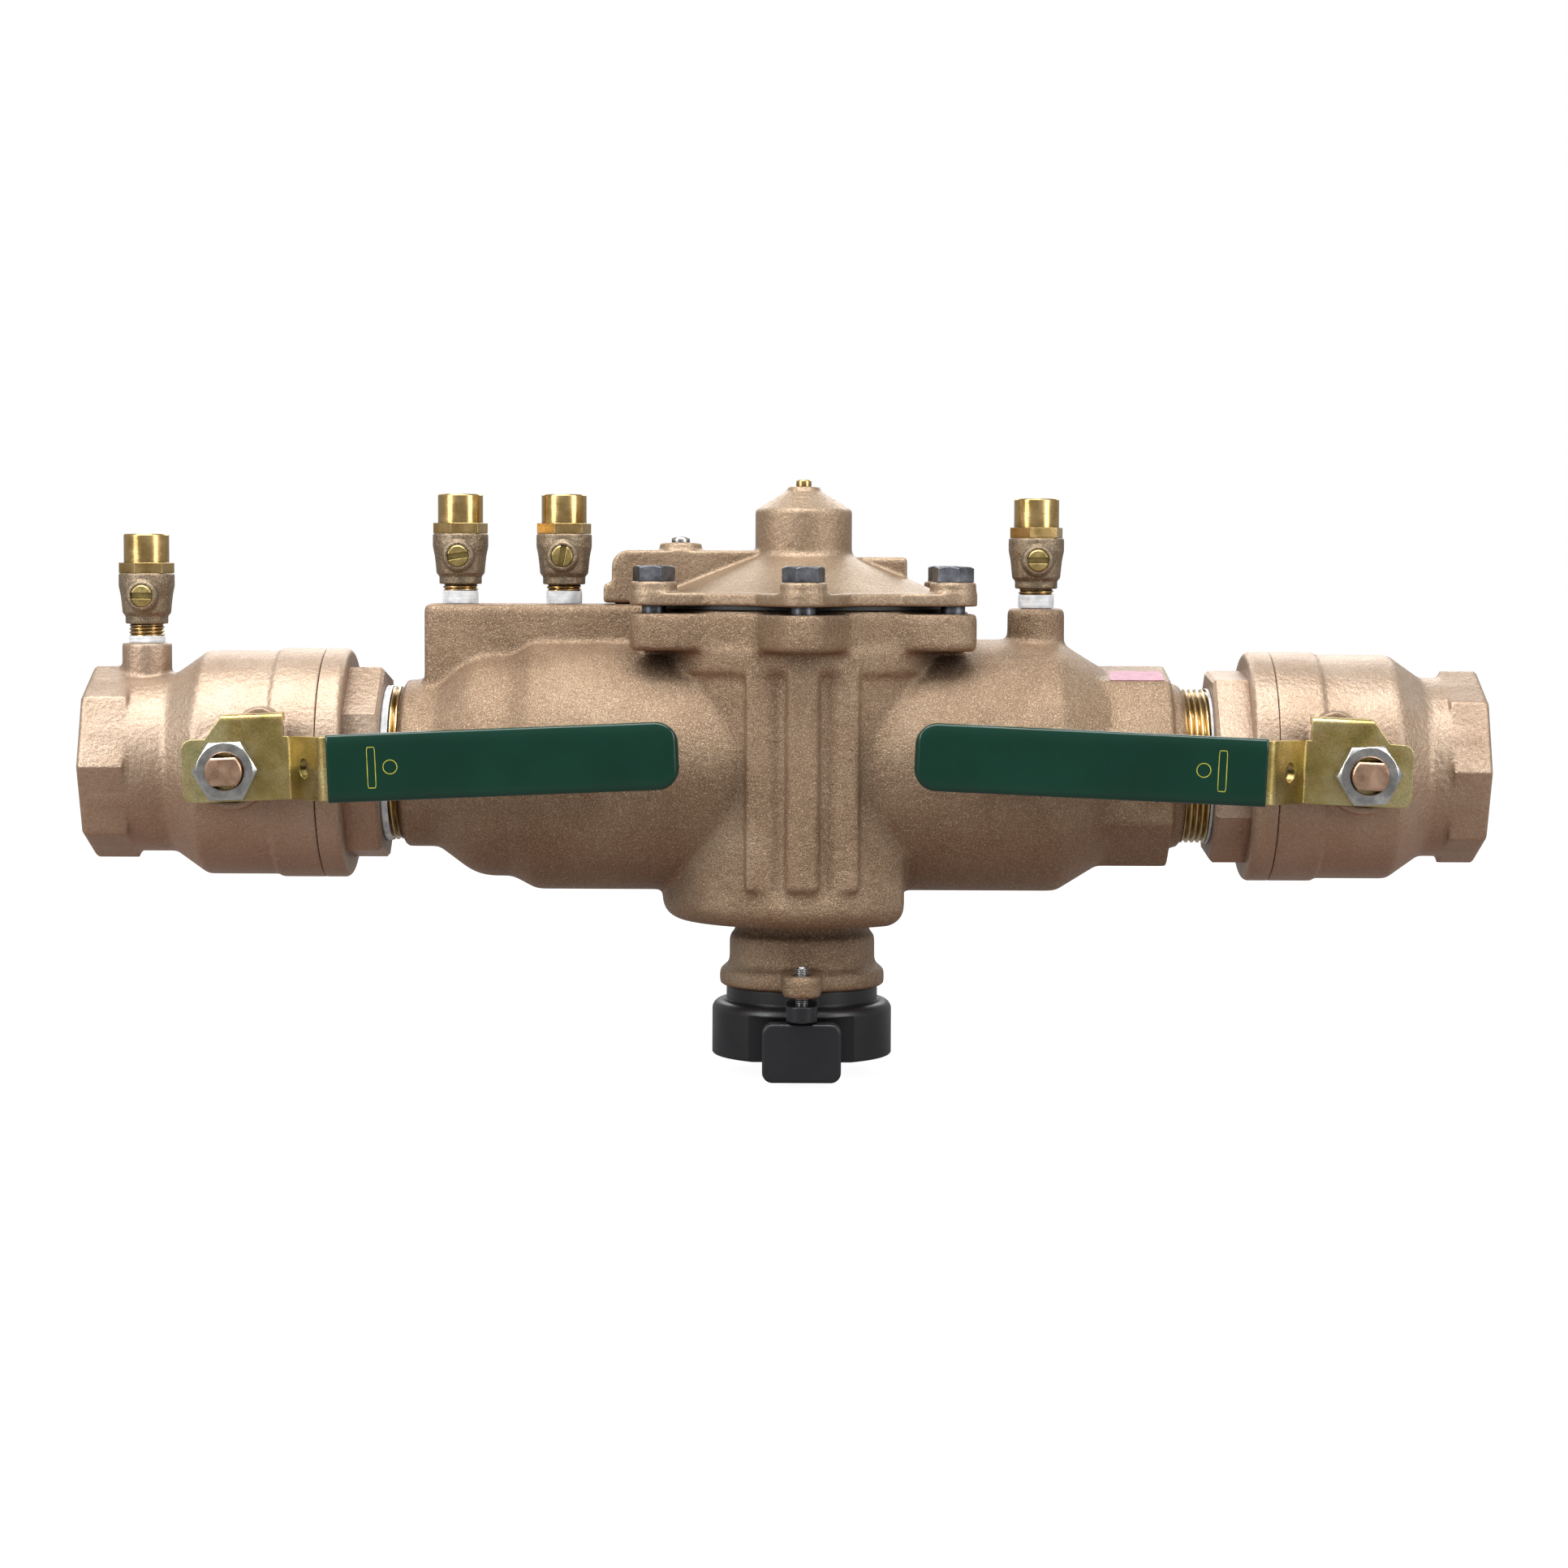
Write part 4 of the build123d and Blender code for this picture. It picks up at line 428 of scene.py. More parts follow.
boltSteel = turnedMetal("boltSteel", {
    "lines": 1200, "stretch": (1.0, 1.0, 1.0), "smear": 140, "dark": (0.085, 0.09, 0.105),
    "light": (0.27, 0.28, 0.31), "rough": (0.30, 0.5), "bump": 0.35, "bevel": 0.4 * mm})
screwSteel = turnedMetal("screwSteel", {
    "lines": 1200, "stretch": (0.2, 0.2, 3.0), "smear": 150, "dark": (0.40, 0.40, 0.41),
    "light": (0.68, 0.68, 0.69), "rough": (0.18, 0.34), "bump": 0.2})
zincNut = turnedMetal("zincNut", {
    "lines": 800, "stretch": (1.0, 3.0, 1.0), "smear": 130, "dark": (0.40, 0.40, 0.39),
    "light": (0.72, 0.72, 0.70), "rough": (0.16, 0.32), "bump": 0.25, "bevel": 0.4 * mm})
springSteel = turnedMetal("springSteel", {
    "lines": 900, "stretch": (1.0, 1.0, 1.0), "smear": 200, "dark": (0.38, 0.38, 0.40),
    "light": (0.60, 0.60, 0.62), "rough": (0.2, 0.36), "bump": 0.15, "bevel": 0.0})
ballChrome = turnedMetal("ballChrome", {
    "lines": 500, "stretch": (1.0, 1.0, 1.0), "smear": 40, "dark": (0.62, 0.62, 0.64),
    "light": (0.80, 0.80, 0.82), "rough": (0.05, 0.14), "bump": 0.05, "bevel": 0.0})
chromate = chromateSteel("yellowChromate", {
    "clouds": 45, "bloom": 110, "grain": 1600, "olive": (0.24, 0.20, 0.060), "gold": (0.46, 0.35, 0.12),
    "pale": (0.66, 0.56, 0.28), "green": (0.36, 0.38, 0.16), "pink": (0.52, 0.33, 0.19),
    "rough": (0.22, 0.40), "bevel": 0.5 * mm})
greenVinyl = mouldedPlastic("greenVinyl", {
    "clouds": 30, "texture": 700, "dark": (0.0003, 0.024, 0.0135), "light": (0.0006, 0.033, 0.0185),
    "rough": (0.17, 0.25), "bump": 0.03, "specular": 0.45, "bevel": 0.0})
blackPlastic = mouldedPlastic("blackPlastic", {
    "clouds": 40, "texture": 1500, "dark": (0.006, 0.006, 0.008), "light": (0.011, 0.011, 0.014),
    "rough": (0.30, 0.42), "bump": 0.25, "bevel": 0.8 * mm, "dust": 0.6, "dustCells": 420,
    "dustPatches": 160, "dustTone": (0.35, 0.35, 0.36)})
sealRubber = mouldedPlastic("sealRubber", {
    "clouds": 60, "texture": 1200, "dark": (0.012, 0.012, 0.012), "light": (0.025, 0.025, 0.025),
    "rough": (0.5, 0.7), "bump": 0.3})
seatPlastic = mouldedPlastic("seatPlastic", {
    "clouds": 60, "texture": 900, "dark": (0.74, 0.74, 0.72), "light": (0.84, 0.84, 0.82),
    "rough": (0.4, 0.55), "bump": 0.1})
checkPlastic = mouldedPlastic("checkPlastic", {
    "clouds": 60, "texture": 1100, "dark": (0.03, 0.03, 0.034), "light": (0.06, 0.06, 0.066),
    "rough": (0.4, 0.55), "bump": 0.2})
sealTape = mouldedPlastic("sealTape", {
    "clouds": 260, "texture": 1800, "dark": (0.50, 0.52, 0.55), "light": (0.86, 0.87, 0.88),
    "rough": (0.5, 0.7), "bump": 0.5, "bevel": 0.0})
inkYellow = mouldedPlastic("inkYellow", {
    "clouds": 400, "texture": 1500, "dark": (0.30, 0.30, 0.03), "light": (0.52, 0.50, 0.06),
    "rough": (0.4, 0.5), "bump": 0.1, "bevel": 0.0})
stickerPink = mouldedPlastic("stickerPink", {
    "clouds": 260, "texture": 1500, "dark": (0.20, 0.045, 0.085), "light": (0.34, 0.10, 0.16),
    "rough": (0.35, 0.5), "bump": 0.15, "bevel": 0.0})
stemBronze = stemFace("stemBronze", {
    "smear": 200, "dark": (0.36, 0.19, 0.11), "light": (0.66, 0.42, 0.29), "bright": (0.78, 0.56, 0.42),
    "rings": 14000, "rough": (0.22, 0.38), "bevel": 0.2 * mm})
finishOfSlot = {
    "body_bronze": castBody, "cover_bronze": castCover, "valve_bronze": castValve,
    "cock_bronze": castCock, "machined_brass": turnedBrass, "stem_bronze": stemBronze,
    "bolt_steel": boltSteel, "screw_steel": screwSteel, "spring_steel": springSteel,
    "chromate_steel": chromate, "zinc_nut": zincNut, "green_vinyl": greenVinyl,
    "ball_chrome": ballChrome, "seat_plastic": seatPlastic, "moulded_plastic": checkPlastic,
    "seal_rubber": sealRubber, "thread_tape": sealTape, "black_plastic": blackPlastic,
}
for subpart in frame["record"]["subparts"]:
    cadMesh = nodes[subpart["node"]].data
    cadMesh.materials.clear()
    cadMesh.materials.append(finishOfSlot[subpart["material_slot"]])
for plugNumber in range(1, 5):
    nodes[f"test_plug_{plugNumber}"].data.materials[0] = plugBrass
print("materials ready")

grooveLook = {"at": 9.8 * mm, "wide": 3.3 * mm, "deep": 2.5 * mm, "top": 40 * mm, "bottom": -52 * mm,
              "fade": 7 * mm, "outside": 53 * mm, "outsideFade": 2 * mm}


def carveGrooves(points):
    # soft channels either side of the front and back ribs: the depth is a bell curve of the
    # distance from the channel's line, faded at the top and the bottom
    look = grooveLook
    off = np.abs(np.abs(points[:, 0] - coverAxis) - look["at"])
    bell = np.exp(-(off / look["wide"])**2)
    fade = (np.clip((look["top"] - points[:, 2]) / look["fade"], 0, 1)
            * np.clip((points[:, 2] - look["bottom"]) / look["fade"], 0, 1))
    outside = np.clip((np.abs(points[:, 1]) - look["outside"]) / look["outsideFade"], 0, 1)
    moved = points.copy()
    moved[:, 1] -= np.sign(points[:, 1]) * look["deep"] * bell * fade * outside
    return moved


pipeThread = {"root": 29.0 * mm, "crest": 30.15 * mm, "pitch": 2.21 * mm, "margin": 0.02 * mm,
              "count": 144, "cadCrest": 30.3 * mm, "sunk": 28.8 * mm, "cadMargin": 0.05 * mm}
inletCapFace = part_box("inlet_end_cap")[1].x
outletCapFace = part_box("outlet_end_cap")[0].x
pipeThreads = {"inletBodyThread": (inletCapFace, inletCapFace + 7.4 * mm),
               "outletBodyThread": (outletCapFace - 11.3 * mm, outletCapFace)}
cockThread = {"root": 6.15 * mm, "crest": 6.85 * mm, "pitch": 1.41 * mm, "margin": 0.05 * mm,
              "gap": 7.5 * mm, "cadRoot": 6.2 * mm, "cadCrest": 7.0 * mm, "sunk": 6.05 * mm,
              "cadMargin": 0.1 * mm, "count": 72}
plugRise = 18.5 * mm  # a test plug's axis above the foot of its cock
cockFeet = []
for number in range(1, 5):
    plugPlace = joints[f"test_plug_turn_{number}"]["pos_m"]
    cockFeet.append((plugPlace[0], plugPlace[2] - plugRise))


def sinkPipeThreads(points):
    # pulls the shown ring threads in to their root, so that the helical threads cover them
    radius = np.hypot(points[:, 1], points[:, 2])
    onThread = (radius > pipeThread["root"]) & (radius < pipeThread["cadCrest"])
    shown = np.zeros(len(points), bool)
    for low, high in pipeThreads.values():
        shown |= ((points[:, 0] > low - pipeThread["cadMargin"])
                  & (points[:, 0] < high + pipeThread["cadMargin"]) & onThread)
    moved = points.copy()
    moved[:, 1:] *= np.where(shown, pipeThread["sunk"] / np.maximum(radius, 1e-9), 1.0)[:, None]
    return moved


def sinkCockThreads(points):
    # pulls the shown cock threads in to their root, in the same way round each upright axis
    moved = points.copy()
    for x, foot in cockFeet:
        away = points[:, :2] - np.array([x, 0.0])
        radius = np.hypot(away[:, 0], away[:, 1])
        height = points[:, 2] - foot + cockThread["cadMargin"]
        shown = ((height > 0) & (height < cockThread["gap"])
                 & (radius > cockThread["cadRoot"]) & (radius < cockThread["cadCrest"]))
        factor = cockThread["sunk"] / np.maximum(radius, 1e-9)
        moved[shown, :2] = np.array([x, 0.0]) + (away * factor[:, None])[shown]
    return moved


castings = {
    "main_body": {
        "piece": "bodyCasting", "voxel": 1.05 * mm, "rounds": 14, "limit": 190000,
        "slot": "body_bronze", "finish": castBody, "sink": sinkPipeThreads, "carve": carveGrooves},
    "cover": {
        "piece": "coverCasting", "voxel": 0.7 * mm, "rounds": 5, "limit": 130000,
        "slot": "cover_bronze", "finish": castCover},
    "inlet_valve_body": {
        "piece": "inletValveCasting", "voxel": 0.8 * mm, "rounds": 5, "limit": 110000,
        "slot": "valve_bronze", "finish": castValve},
    "outlet_valve_body": {
        "piece": "outletValveCasting", "voxel": 0.8 * mm, "rounds": 5, "limit": 110000,
        "slot": "valve_bronze", "finish": castValve},
    "test_cock_bodies": {
        "piece": "testCockCastings", "voxel": 0.3 * mm, "rounds": 5, "limit": 150000,
        "slot": "cock_bronze", "finish": castCock, "sink": sinkCockThreads},
}


def movePoints(mesh, change):
    # puts every vertex of a mesh where a function of the whole array of points says
    points = np.empty(len(mesh.vertices) * 3)
    mesh.vertices.foreach_get("co", points)
    mesh.vertices.foreach_set("co", change(points.reshape(-1, 3)).ravel())


def shapeOf(work):
    # the mesh that an object's modifiers make of it
    graph = bpy.context.evaluated_depsgraph_get()
    return bpy.data.meshes.new_from_object(work.evaluated_get(graph))


def softCasting(node, look):
    # the CAD shape, merged, rebuilt on a fine even grid and relaxed, so that every corner
    # gets the small radius of a sand casting; it is thinned where it has too many triangles
    mesh = nodes[node].data.copy()
    shape = bmesh.new()
    shape.from_mesh(mesh)
    bmesh.ops.remove_doubles(shape, verts=shape.verts, dist=mergeDistance)
    shape.to_mesh(mesh)
    shape.free()
    if "sink" in look:
        movePoints(mesh, look["sink"])
    work = bpy.data.objects.new("castingWork", mesh)
    bpy.context.scene.collection.objects.link(work)
    remesh = work.modifiers.new("rebuild", "REMESH")
    remesh.mode = "VOXEL"
    remesh.voxel_size = look["voxel"]
    relax = work.modifiers.new("relax", "SMOOTH")
    relax.factor = 0.5
    relax.iterations = look["rounds"]
    made = shapeOf(work)
    made.calc_loop_triangles()
    count = len(made.loop_triangles)
    if count > look["limit"]:
        thin = work.modifiers.new("thin", "DECIMATE")
        thin.ratio = look["limit"] / count
        made = shapeOf(work)
    bpy.data.objects.remove(work)
    made.name = look["piece"]
    if "carve" in look:
        movePoints(made, look["carve"])
    piece = finishPiece(look["piece"], made, nodes[node]["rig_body"], look["finish"])
    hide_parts(node)
    print("casting", look["piece"], count)


for castNode, castLook in castings.items():
    softCasting(castNode, castLook)

# a ridge's share of its full height is flatTop less steep times the distance from its middle,
# counted in pitches, and held between 0 and 1
ridgeLook = {"flatTop": 1.25, "steep": 2.5, "fadeIn": 0.3, "fadeOut": 0.6, "rowsPerPitch": 14,
             "wall": 0.6 * mm}


def threadSleeve(name, line, start, end, thread):
    # a tube whose radius follows a sharp helical ridge: height is a triangle of
    # (distance along the axis over the pitch, less the turn), faded at both ends
    look, root, pitch, count = ridgeLook, thread["root"], thread["pitch"], thread["count"]
    rows = int((end - start) / pitch * look["rowsPerPitch"])
    along = np.linspace(start, end, rows)

    def ridge(distance, angle):
        phase = np.mod(distance / pitch - angle / (2 * np.pi), 1.0)
        height = np.clip(look["flatTop"] - look["steep"] * np.abs(phase - 0.5), 0, 1)
        fade = (np.clip((end - distance) / (look["fadeOut"] * pitch), 0, 1)
                * np.clip((distance - start) / (look["fadeIn"] * pitch), 0, 1))
        return (thread["crest"] - root) * height * fade

    outer = around(np.stack([along, np.full(rows, root)], 1), line, count, ridge)
    within = root - look["wall"]
    inner = around([[end, root], [end, within], [start, within], [start, root]], line, count)
    makePiece(name, *joinGrids([outer, inner]), "housing", "machined_brass", threadBrass, angle=40)


for threadName, (low, high) in pipeThreads.items():
    threadSleeve(threadName, pipeLine, low + pipeThread["margin"], high - pipeThread["margin"],
                 pipeThread)
for number, (x, foot) in enumerate(cockFeet, 1):
    threadSleeve(f"cockThread{number}", uprightLine(x), foot + cockThread["margin"],
                 foot + cockThread["gap"] - cockThread["margin"], cockThread)
print("threads made")

# shares of a tape's thickness: its least, the thread under it, and its creases, each of which is
# (waves round the band, lean along it)
tapeLook = {
    "rows": 13, "count": 120, "wall": 0.02 * mm, "edge": 0.12, "least": 0.42, "thread": 0.33,
    "creased": 0.25, "creases": ((5, 0), (11, 900), (17, 0), (3, 0)),
}
pipeTapeLook = {"low": 30.17 * mm, "high": 30.58 * mm, "pitch": pipeThread["pitch"], "margin": 0.05 * mm,
                "inletEnd": 2.75 * mm, "outletEnd": 1.15 * mm}
cockTapeLook = {"low": 6.87 * mm, "high": 7.09 * mm, "pitch": cockThread["pitch"], "margin": 0.02 * mm,
                "ends": [2.75 * mm, 4.95 * mm, 4.95 * mm, 5.15 * mm]}


def tapeBand(line, start, end, band, seed):
    # a closed band: outer radius follows the thread under the tape plus small sine ripples
    look, low, count = tapeLook, band["low"], tapeLook["count"]
    along = np.linspace(start, end, look["rows"])
    turns = np.random.default_rng(seed).uniform(0, 2 * np.pi, len(look["creases"]))

    def ripple(distance, angle):
        wound = 0.5 + 0.5 * np.cos(2 * np.pi * distance / band["pitch"] - angle)
        creases = sum(np.sin(waves * angle + turn + lean * distance)
                      for (waves, lean), turn in zip(look["creases"], turns)) / len(turns)
        edge = np.clip(np.minimum(distance - start, end - distance) / (look["edge"] * (end - start)), 0, 1)
        share = look["least"] + look["thread"] * wound + look["creased"] * creases
        return (band["high"] - low) * edge * np.clip(share, 0.05, 1)

    outer = around(np.stack([along, np.full(look["rows"], low)], 1), line, count, ripple)
    within = low - look["wall"]
    return joinGrids([outer, around([[end, low], [end, within], [start, within], [start, low]], line, count)])


pipeBands = [
    tapeBand(pipeLine, inletCapFace + pipeTapeLook["margin"], inletCapFace + pipeTapeLook["inletEnd"],
             pipeTapeLook, seed=3),
    tapeBand(pipeLine, outletCapFace - pipeTapeLook["outletEnd"], outletCapFace - pipeTapeLook["margin"],
             pipeTapeLook, seed=4)]
pipeTape = makePiece("pipeTape", *joinGrids(pipeBands), "housing", "thread_tape", sealTape, angle=60)
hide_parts("joint_tape")
cockBands = [tapeBand(uprightLine(x), foot + cockTapeLook["margin"], foot + end, cockTapeLook, seed)
             for seed, ((x, foot), end) in enumerate(zip(cockFeet, cockTapeLook["ends"]), 10)]
cockTape = makePiece("cockTape", *joinGrids(cockBands), "housing", "thread_tape", sealTape, angle=60)
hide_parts("test_cock_tapes")
print("tape made")

gripLook = {
    "start": 40.3 * mm, "end": 171.6 * mm, "halfWidth": 12.75 * mm, "halfThick": 3.25 * mm,
    "corner": 8.5 * mm, "depth": 71.3 * mm, "tilt": math.radians(2.5), "edge": 2.4 * mm,
    "mouth": 1.2 * mm, "mouthThin": 0.18, "plainShare": 0.93, "mouthSwell": 0.05, "mouthReach": 9 * mm,
    "waver": 0.02, "waverReach": 23 * mm, "acrossPower": 0.231, "throughPower": 0.42, "rows": 90,
    "count": 96,
}


def gripFrame(joint, way):
    # the grip's own axes: along the arm, up across it, and forward to the front
    tilt = gripLook["tilt"]
    origin = np.array(joint["pos_m"]) + np.array([0, -gripLook["depth"], 0])
    along = np.array([way * math.cos(tilt), 0, math.sin(tilt)])
    up = np.array([-way * math.sin(tilt), 0, math.cos(tilt)])
    return origin, along, up, np.array([0, -1.0, 0])


def roundedIn(share):
    # a quarter circle: 0 at share 0, rising steeply, and level at 1
    return np.sqrt(1 - (1 - share)**2)


def powered(wave, power):
    # a sine or cosine squared off by a power under 1, with its sign kept
    return np.sign(wave) * np.abs(wave)**power


def gripSkin(name, joint, way, body, node):
    # dipped sleeve: a rounded-rectangle section carried along the arm; the half width follows
    # the round corners of the tip, the half thickness swells a little and closes at both ends
    look = gripLook
    ease = np.linspace(0, np.pi, look["rows"])
    run = look["start"] + (look["end"] - look["start"]) * (1 - np.cos(ease)) / 2
    toTip = np.clip((run - (look["end"] - look["corner"])) / look["corner"], 0, 1)
    half = look["halfWidth"] - look["corner"] * (1 - np.sqrt(1 - toTip**2))
    closing = np.clip((look["end"] - run) / look["edge"], 0, 1)
    opening = np.clip((run - look["start"]) / look["mouth"], 0, 1)
    bell = np.exp(-((run - look["start"]) / look["mouthReach"])**2)
    swell = look["plainShare"] + look["mouthSwell"] * bell + look["waver"] * np.sin(run / look["waverReach"])
    mouth = 1 - look["mouthThin"] * (1 - roundedIn(opening))
    thick = look["halfThick"] * swell * roundedIn(closing) * mouth
    angle = wholeTurn(look["count"])
    across = powered(np.cos(angle), look["acrossPower"])
    through = powered(np.sin(angle), look["throughPower"])
    origin, along, up, front = gripFrame(joint, way)
    skin = closedEnds(origin + run[:, None, None] * along + (half[:, None] * across)[..., None] * up
                      + (thick[:, None] * through)[..., None] * front)
    faces = gridFaces(len(skin), look["count"])
    piece = makePiece(name, skin, faces, body, "green_vinyl", greenVinyl, angle=70)
    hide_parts(node)


inkLook = {
    "count": 72, "lift": 0.945, "halfLine": 0.16 * mm, "halfHigh": 0.06 * mm, "square": 1.3,
    "ring": {"at": 64 * mm, "size": (2.6 * mm, 2.6 * mm)},
    "frame": {"at": 57 * mm, "size": (1.5 * mm, 7.6 * mm)},
}


def inkMarks(name, joint, way, body):
    # generic printed marks: a ring and a rectangular frame, each a thin closed loop
    origin, along, up, front = gripFrame(joint, way)
    lift = gripLook["halfThick"] * inkLook["lift"]
    angle = wholeTurn(inkLook["count"])
    circle = np.stack([np.cos(angle), np.sin(angle)], 1)
    square = np.clip(inkLook["square"] * circle, -1, 1)
    section = np.array([[-1, -1], [1, -1], [1, 1], [-1, 1]]) * [inkLook["halfLine"], inkLook["halfHigh"]]
    grids = []
    for outline, mark in ((circle, inkLook["ring"]), (square, inkLook["frame"])):
        outward = outline / np.linalg.norm(outline, axis=1)[:, None]
        flat = (outline * mark["size"])[:, None, :] + section[None, :, 0, None] * outward[:, None, :]
        points = (origin + (mark["at"] + flat[..., 0])[..., None] * along + flat[..., 1][..., None] * up
                  + (lift + section[None, :, 1] + 0 * flat[..., 0])[..., None] * front)
        closed = np.concatenate([points, points[:1]])
        grids.append((closed, gridFaces(len(closed), len(section))))
    makePiece(name, *joinGrids(grids), body, "green_vinyl", inkYellow, smooth=False)


for side, way in (("inlet", 1), ("outlet", -1)):
    handleJoint = joints[side + "_handle_turn"]
    gripSkin(side + "GripSkin", handleJoint, way, side + "_rotor", side + "_grip")
    inkMarks(side + "GripMarks", handleJoint, way, side + "_rotor")
print("grips made")

# the cone starts at crown times half the width over the flats
hexLook = {"cone": math.radians(30), "crown": 0.97, "count": 96, "rows": 7, "boreEdge": 0.35 * mm,
           "boreDrop": 0.3 * mm}


def hexagonSolid(line, flats, height, bore, turn):
    # hexagon bar cut by a cone at its outer end: the radius is the smaller of the hexagon's radius
    # at this angle and the cone's radius at this height, closed to the bore or to the centre
    centre, axis, side = (np.asarray(part, float) for part in line)
    count = hexLook["count"]
    angle = wholeTurn(count)
    apothem, slope = flats / 2, math.tan(hexLook["cone"])
    hexRadius = apothem / np.cos(np.mod(angle, np.pi / 3) - np.pi / 6)
    drop = (apothem / math.cos(math.pi / 6) - apothem * hexLook["crown"]) * slope
    rise = np.concatenate([np.linspace(0, drop, hexLook["rows"]),
                           np.linspace(height - drop, height, hexLook["rows"])])
    cone = apothem * hexLook["crown"] + (height - rise) / slope
    radius = np.minimum(hexRadius[None, :], cone[:, None])
    lowRim = np.full((1, count), bore)
    if bore:
        rise = np.concatenate([[0], rise, [height, height - hexLook["boreDrop"], 0]])
        radius = np.concatenate([lowRim, radius, lowRim + hexLook["boreEdge"], lowRim, lowRim])
    else:
        rise = np.concatenate([[0], rise, [height]])
        radius = np.concatenate([lowRim, radius, lowRim])
    outward = np.cos(angle + turn)[:, None] * side + np.sin(angle + turn)[:, None] * np.cross(axis, side)
    points = centre + rise[:, None, None] * axis + radius[..., None] * outward
    return points, gridFaces(len(points), count)


nutLook = {"flats": 21.89 * mm, "height": 7.9 * mm, "bore": 7.1 * mm, "turn": 0.04}
for side in ("inlet", "outlet"):
    seat = (joints[side + "_handle_turn"]["pos_m"][0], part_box(side + "_handle_nut")[1].y, 0)
    grid = hexagonSolid((seat, (0, -1, 0), (1, 0, 0)), nutLook["flats"], nutLook["height"], nutLook["bore"],
                        nutLook["turn"])
    nut = makePiece(side + "HandleNut", *grid, side + "_rotor", "zinc_nut", zincNut, angle=30)
    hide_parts(side + "_handle_nut")

boltLook = {"flats": 14.25 * mm, "height": 5.9 * mm, "underHead": 6.1 * mm, "circle": 66.1 * mm,
            "shank": 4.7 * mm, "turns": [0.2, 0.75, 0.45, 0.1, 0.6, 0.9]}
boltLow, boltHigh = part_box("cover_bolts")
headFoot = boltHigh.z - boltLook["underHead"]
boltGrids = []
for number, turn in enumerate(boltLook["turns"]):
    place = math.radians(-90 + 360 / len(boltLook["turns"]) * number)
    x, y = coverAxis + boltLook["circle"] * math.cos(place), boltLook["circle"] * math.sin(place)
    head = hexagonSolid(uprightLine(x, y, headFoot), boltLook["flats"], boltLook["height"], 0.0, turn)
    shank = [[boltLow.z, 0], [boltLow.z, boltLook["shank"]], [headFoot, boltLook["shank"]], [headFoot, 0]]
    boltGrids += [head, around(shank, uprightLine(x, y), 48)]
bolts = makePiece("coverBoltSet", *joinGrids(boltGrids), "housing", "bolt_steel", boltSteel, angle=30)
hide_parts("cover_bolts")
print("nuts and bolts made")

springs = {
    "check_1_spring": {"piece": "firstCheckCoil", "joint": "check_1_lift", "axis": 0, "fixedEnd": 1,
                       "turns": 4, "wire": 1.0 * mm},
    "check_2_spring": {"piece": "secondCheckCoil", "joint": "check_2_lift", "axis": 0, "fixedEnd": 1,
                       "turns": 4, "wire": 1.0 * mm},
    "relief_spring": {"piece": "reliefCoil", "joint": "relief_travel", "axis": 2, "fixedEnd": 0,
                      "turns": 5, "wire": 0.8 * mm},
}
coilLook = {"rowsPerTurn": 48, "count": 16, "wireShare": 0.98}


def springCoil(node, look):
    # wire round a helix: centre line = axis point + radius at the turned angle, and the wire's
    # circle lies in the plane of the outward direction and the direction square to the path
    low, high = (np.array(corner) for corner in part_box(node))
    axis, first, second = (np.eye(3)[(look["axis"] + step) % 3] for step in range(3))
    middle = (low + high) / 2 * (1 - axis)
    radius = (high - low) @ first / 2 - look["wire"]
    start, end = low @ axis + look["wire"], high @ axis - look["wire"]
    turned = np.linspace(0, 2 * np.pi * look["turns"], coilLook["rowsPerTurn"] * look["turns"] + 1)
    along = start + (end - start) * turned / turned[-1]
    outward = np.cos(turned)[:, None] * first + np.sin(turned)[:, None] * second
    line = middle + along[:, None] * axis + radius * outward
    path = np.gradient(line, axis=0)
    path /= np.linalg.norm(path, axis=1)[:, None]
    square = np.cross(path, outward)
    ring = wholeTurn(coilLook["count"])[None, :, None]
    wire = closedEnds(line[:, None] + look["wire"] * coilLook["wireShare"]
                      * (np.cos(ring) * outward[:, None] + np.sin(ring) * square[:, None]))
    faces = gridFaces(len(wire), coilLook["count"])
    piece = makePiece(look["piece"], wire, faces, "housing", "spring_steel", springSteel, angle=60)
    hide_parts(node)
    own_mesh(piece)


for springNode, springLook in springs.items():
    springCoil(springNode, springLook)
print("springs made")

stickerLook = {
    "from": 397.5 * mm, "to": 418.5 * mm, "corner": 40.1 * mm, "turns": (math.radians(58), math.radians(103)),
    "low": 0.04, "high": 0.62, "thick": 0.12 * mm, "sunk": 0.4 * mm, "rows": 24, "columns": 14,
    "waver": 0.03 * mm, "waverAlong": 700, "waverAcross": 9,
}


def padSticker():
    # flat patch on the pad's upper face: a blend between the face's two corner lines
    look = stickerLook
    edge = [np.array([0, -math.cos(turn), math.sin(turn)]) * look["corner"] for turn in look["turns"]]
    outward = (edge[0] + edge[1]) / np.linalg.norm(edge[0] + edge[1])
    run = np.linspace(look["from"], look["to"], look["rows"])
    share = np.linspace(look["low"], look["high"], look["columns"])
    face = (1 - share)[None, :, None] * edge[0] + share[None, :, None] * edge[1]
    base = face + run[:, None, None] * np.array([1.0, 0, 0])
    wave = look["waver"] * np.sin(run * look["waverAlong"])[:, None] * np.cos(share * look["waverAcross"])
    top = base + outward * (look["thick"] + wave[..., None])
    bottom = base - outward * look["sunk"]
    shell = closedEnds(np.concatenate([top, bottom[:, ::-1]], axis=1))
    makePiece("padSticker", shell, gridFaces(len(shell), 2 * look["columns"]), "housing", "body_bronze",
              stickerPink, smooth=False)


padSticker()
print("sticker made")


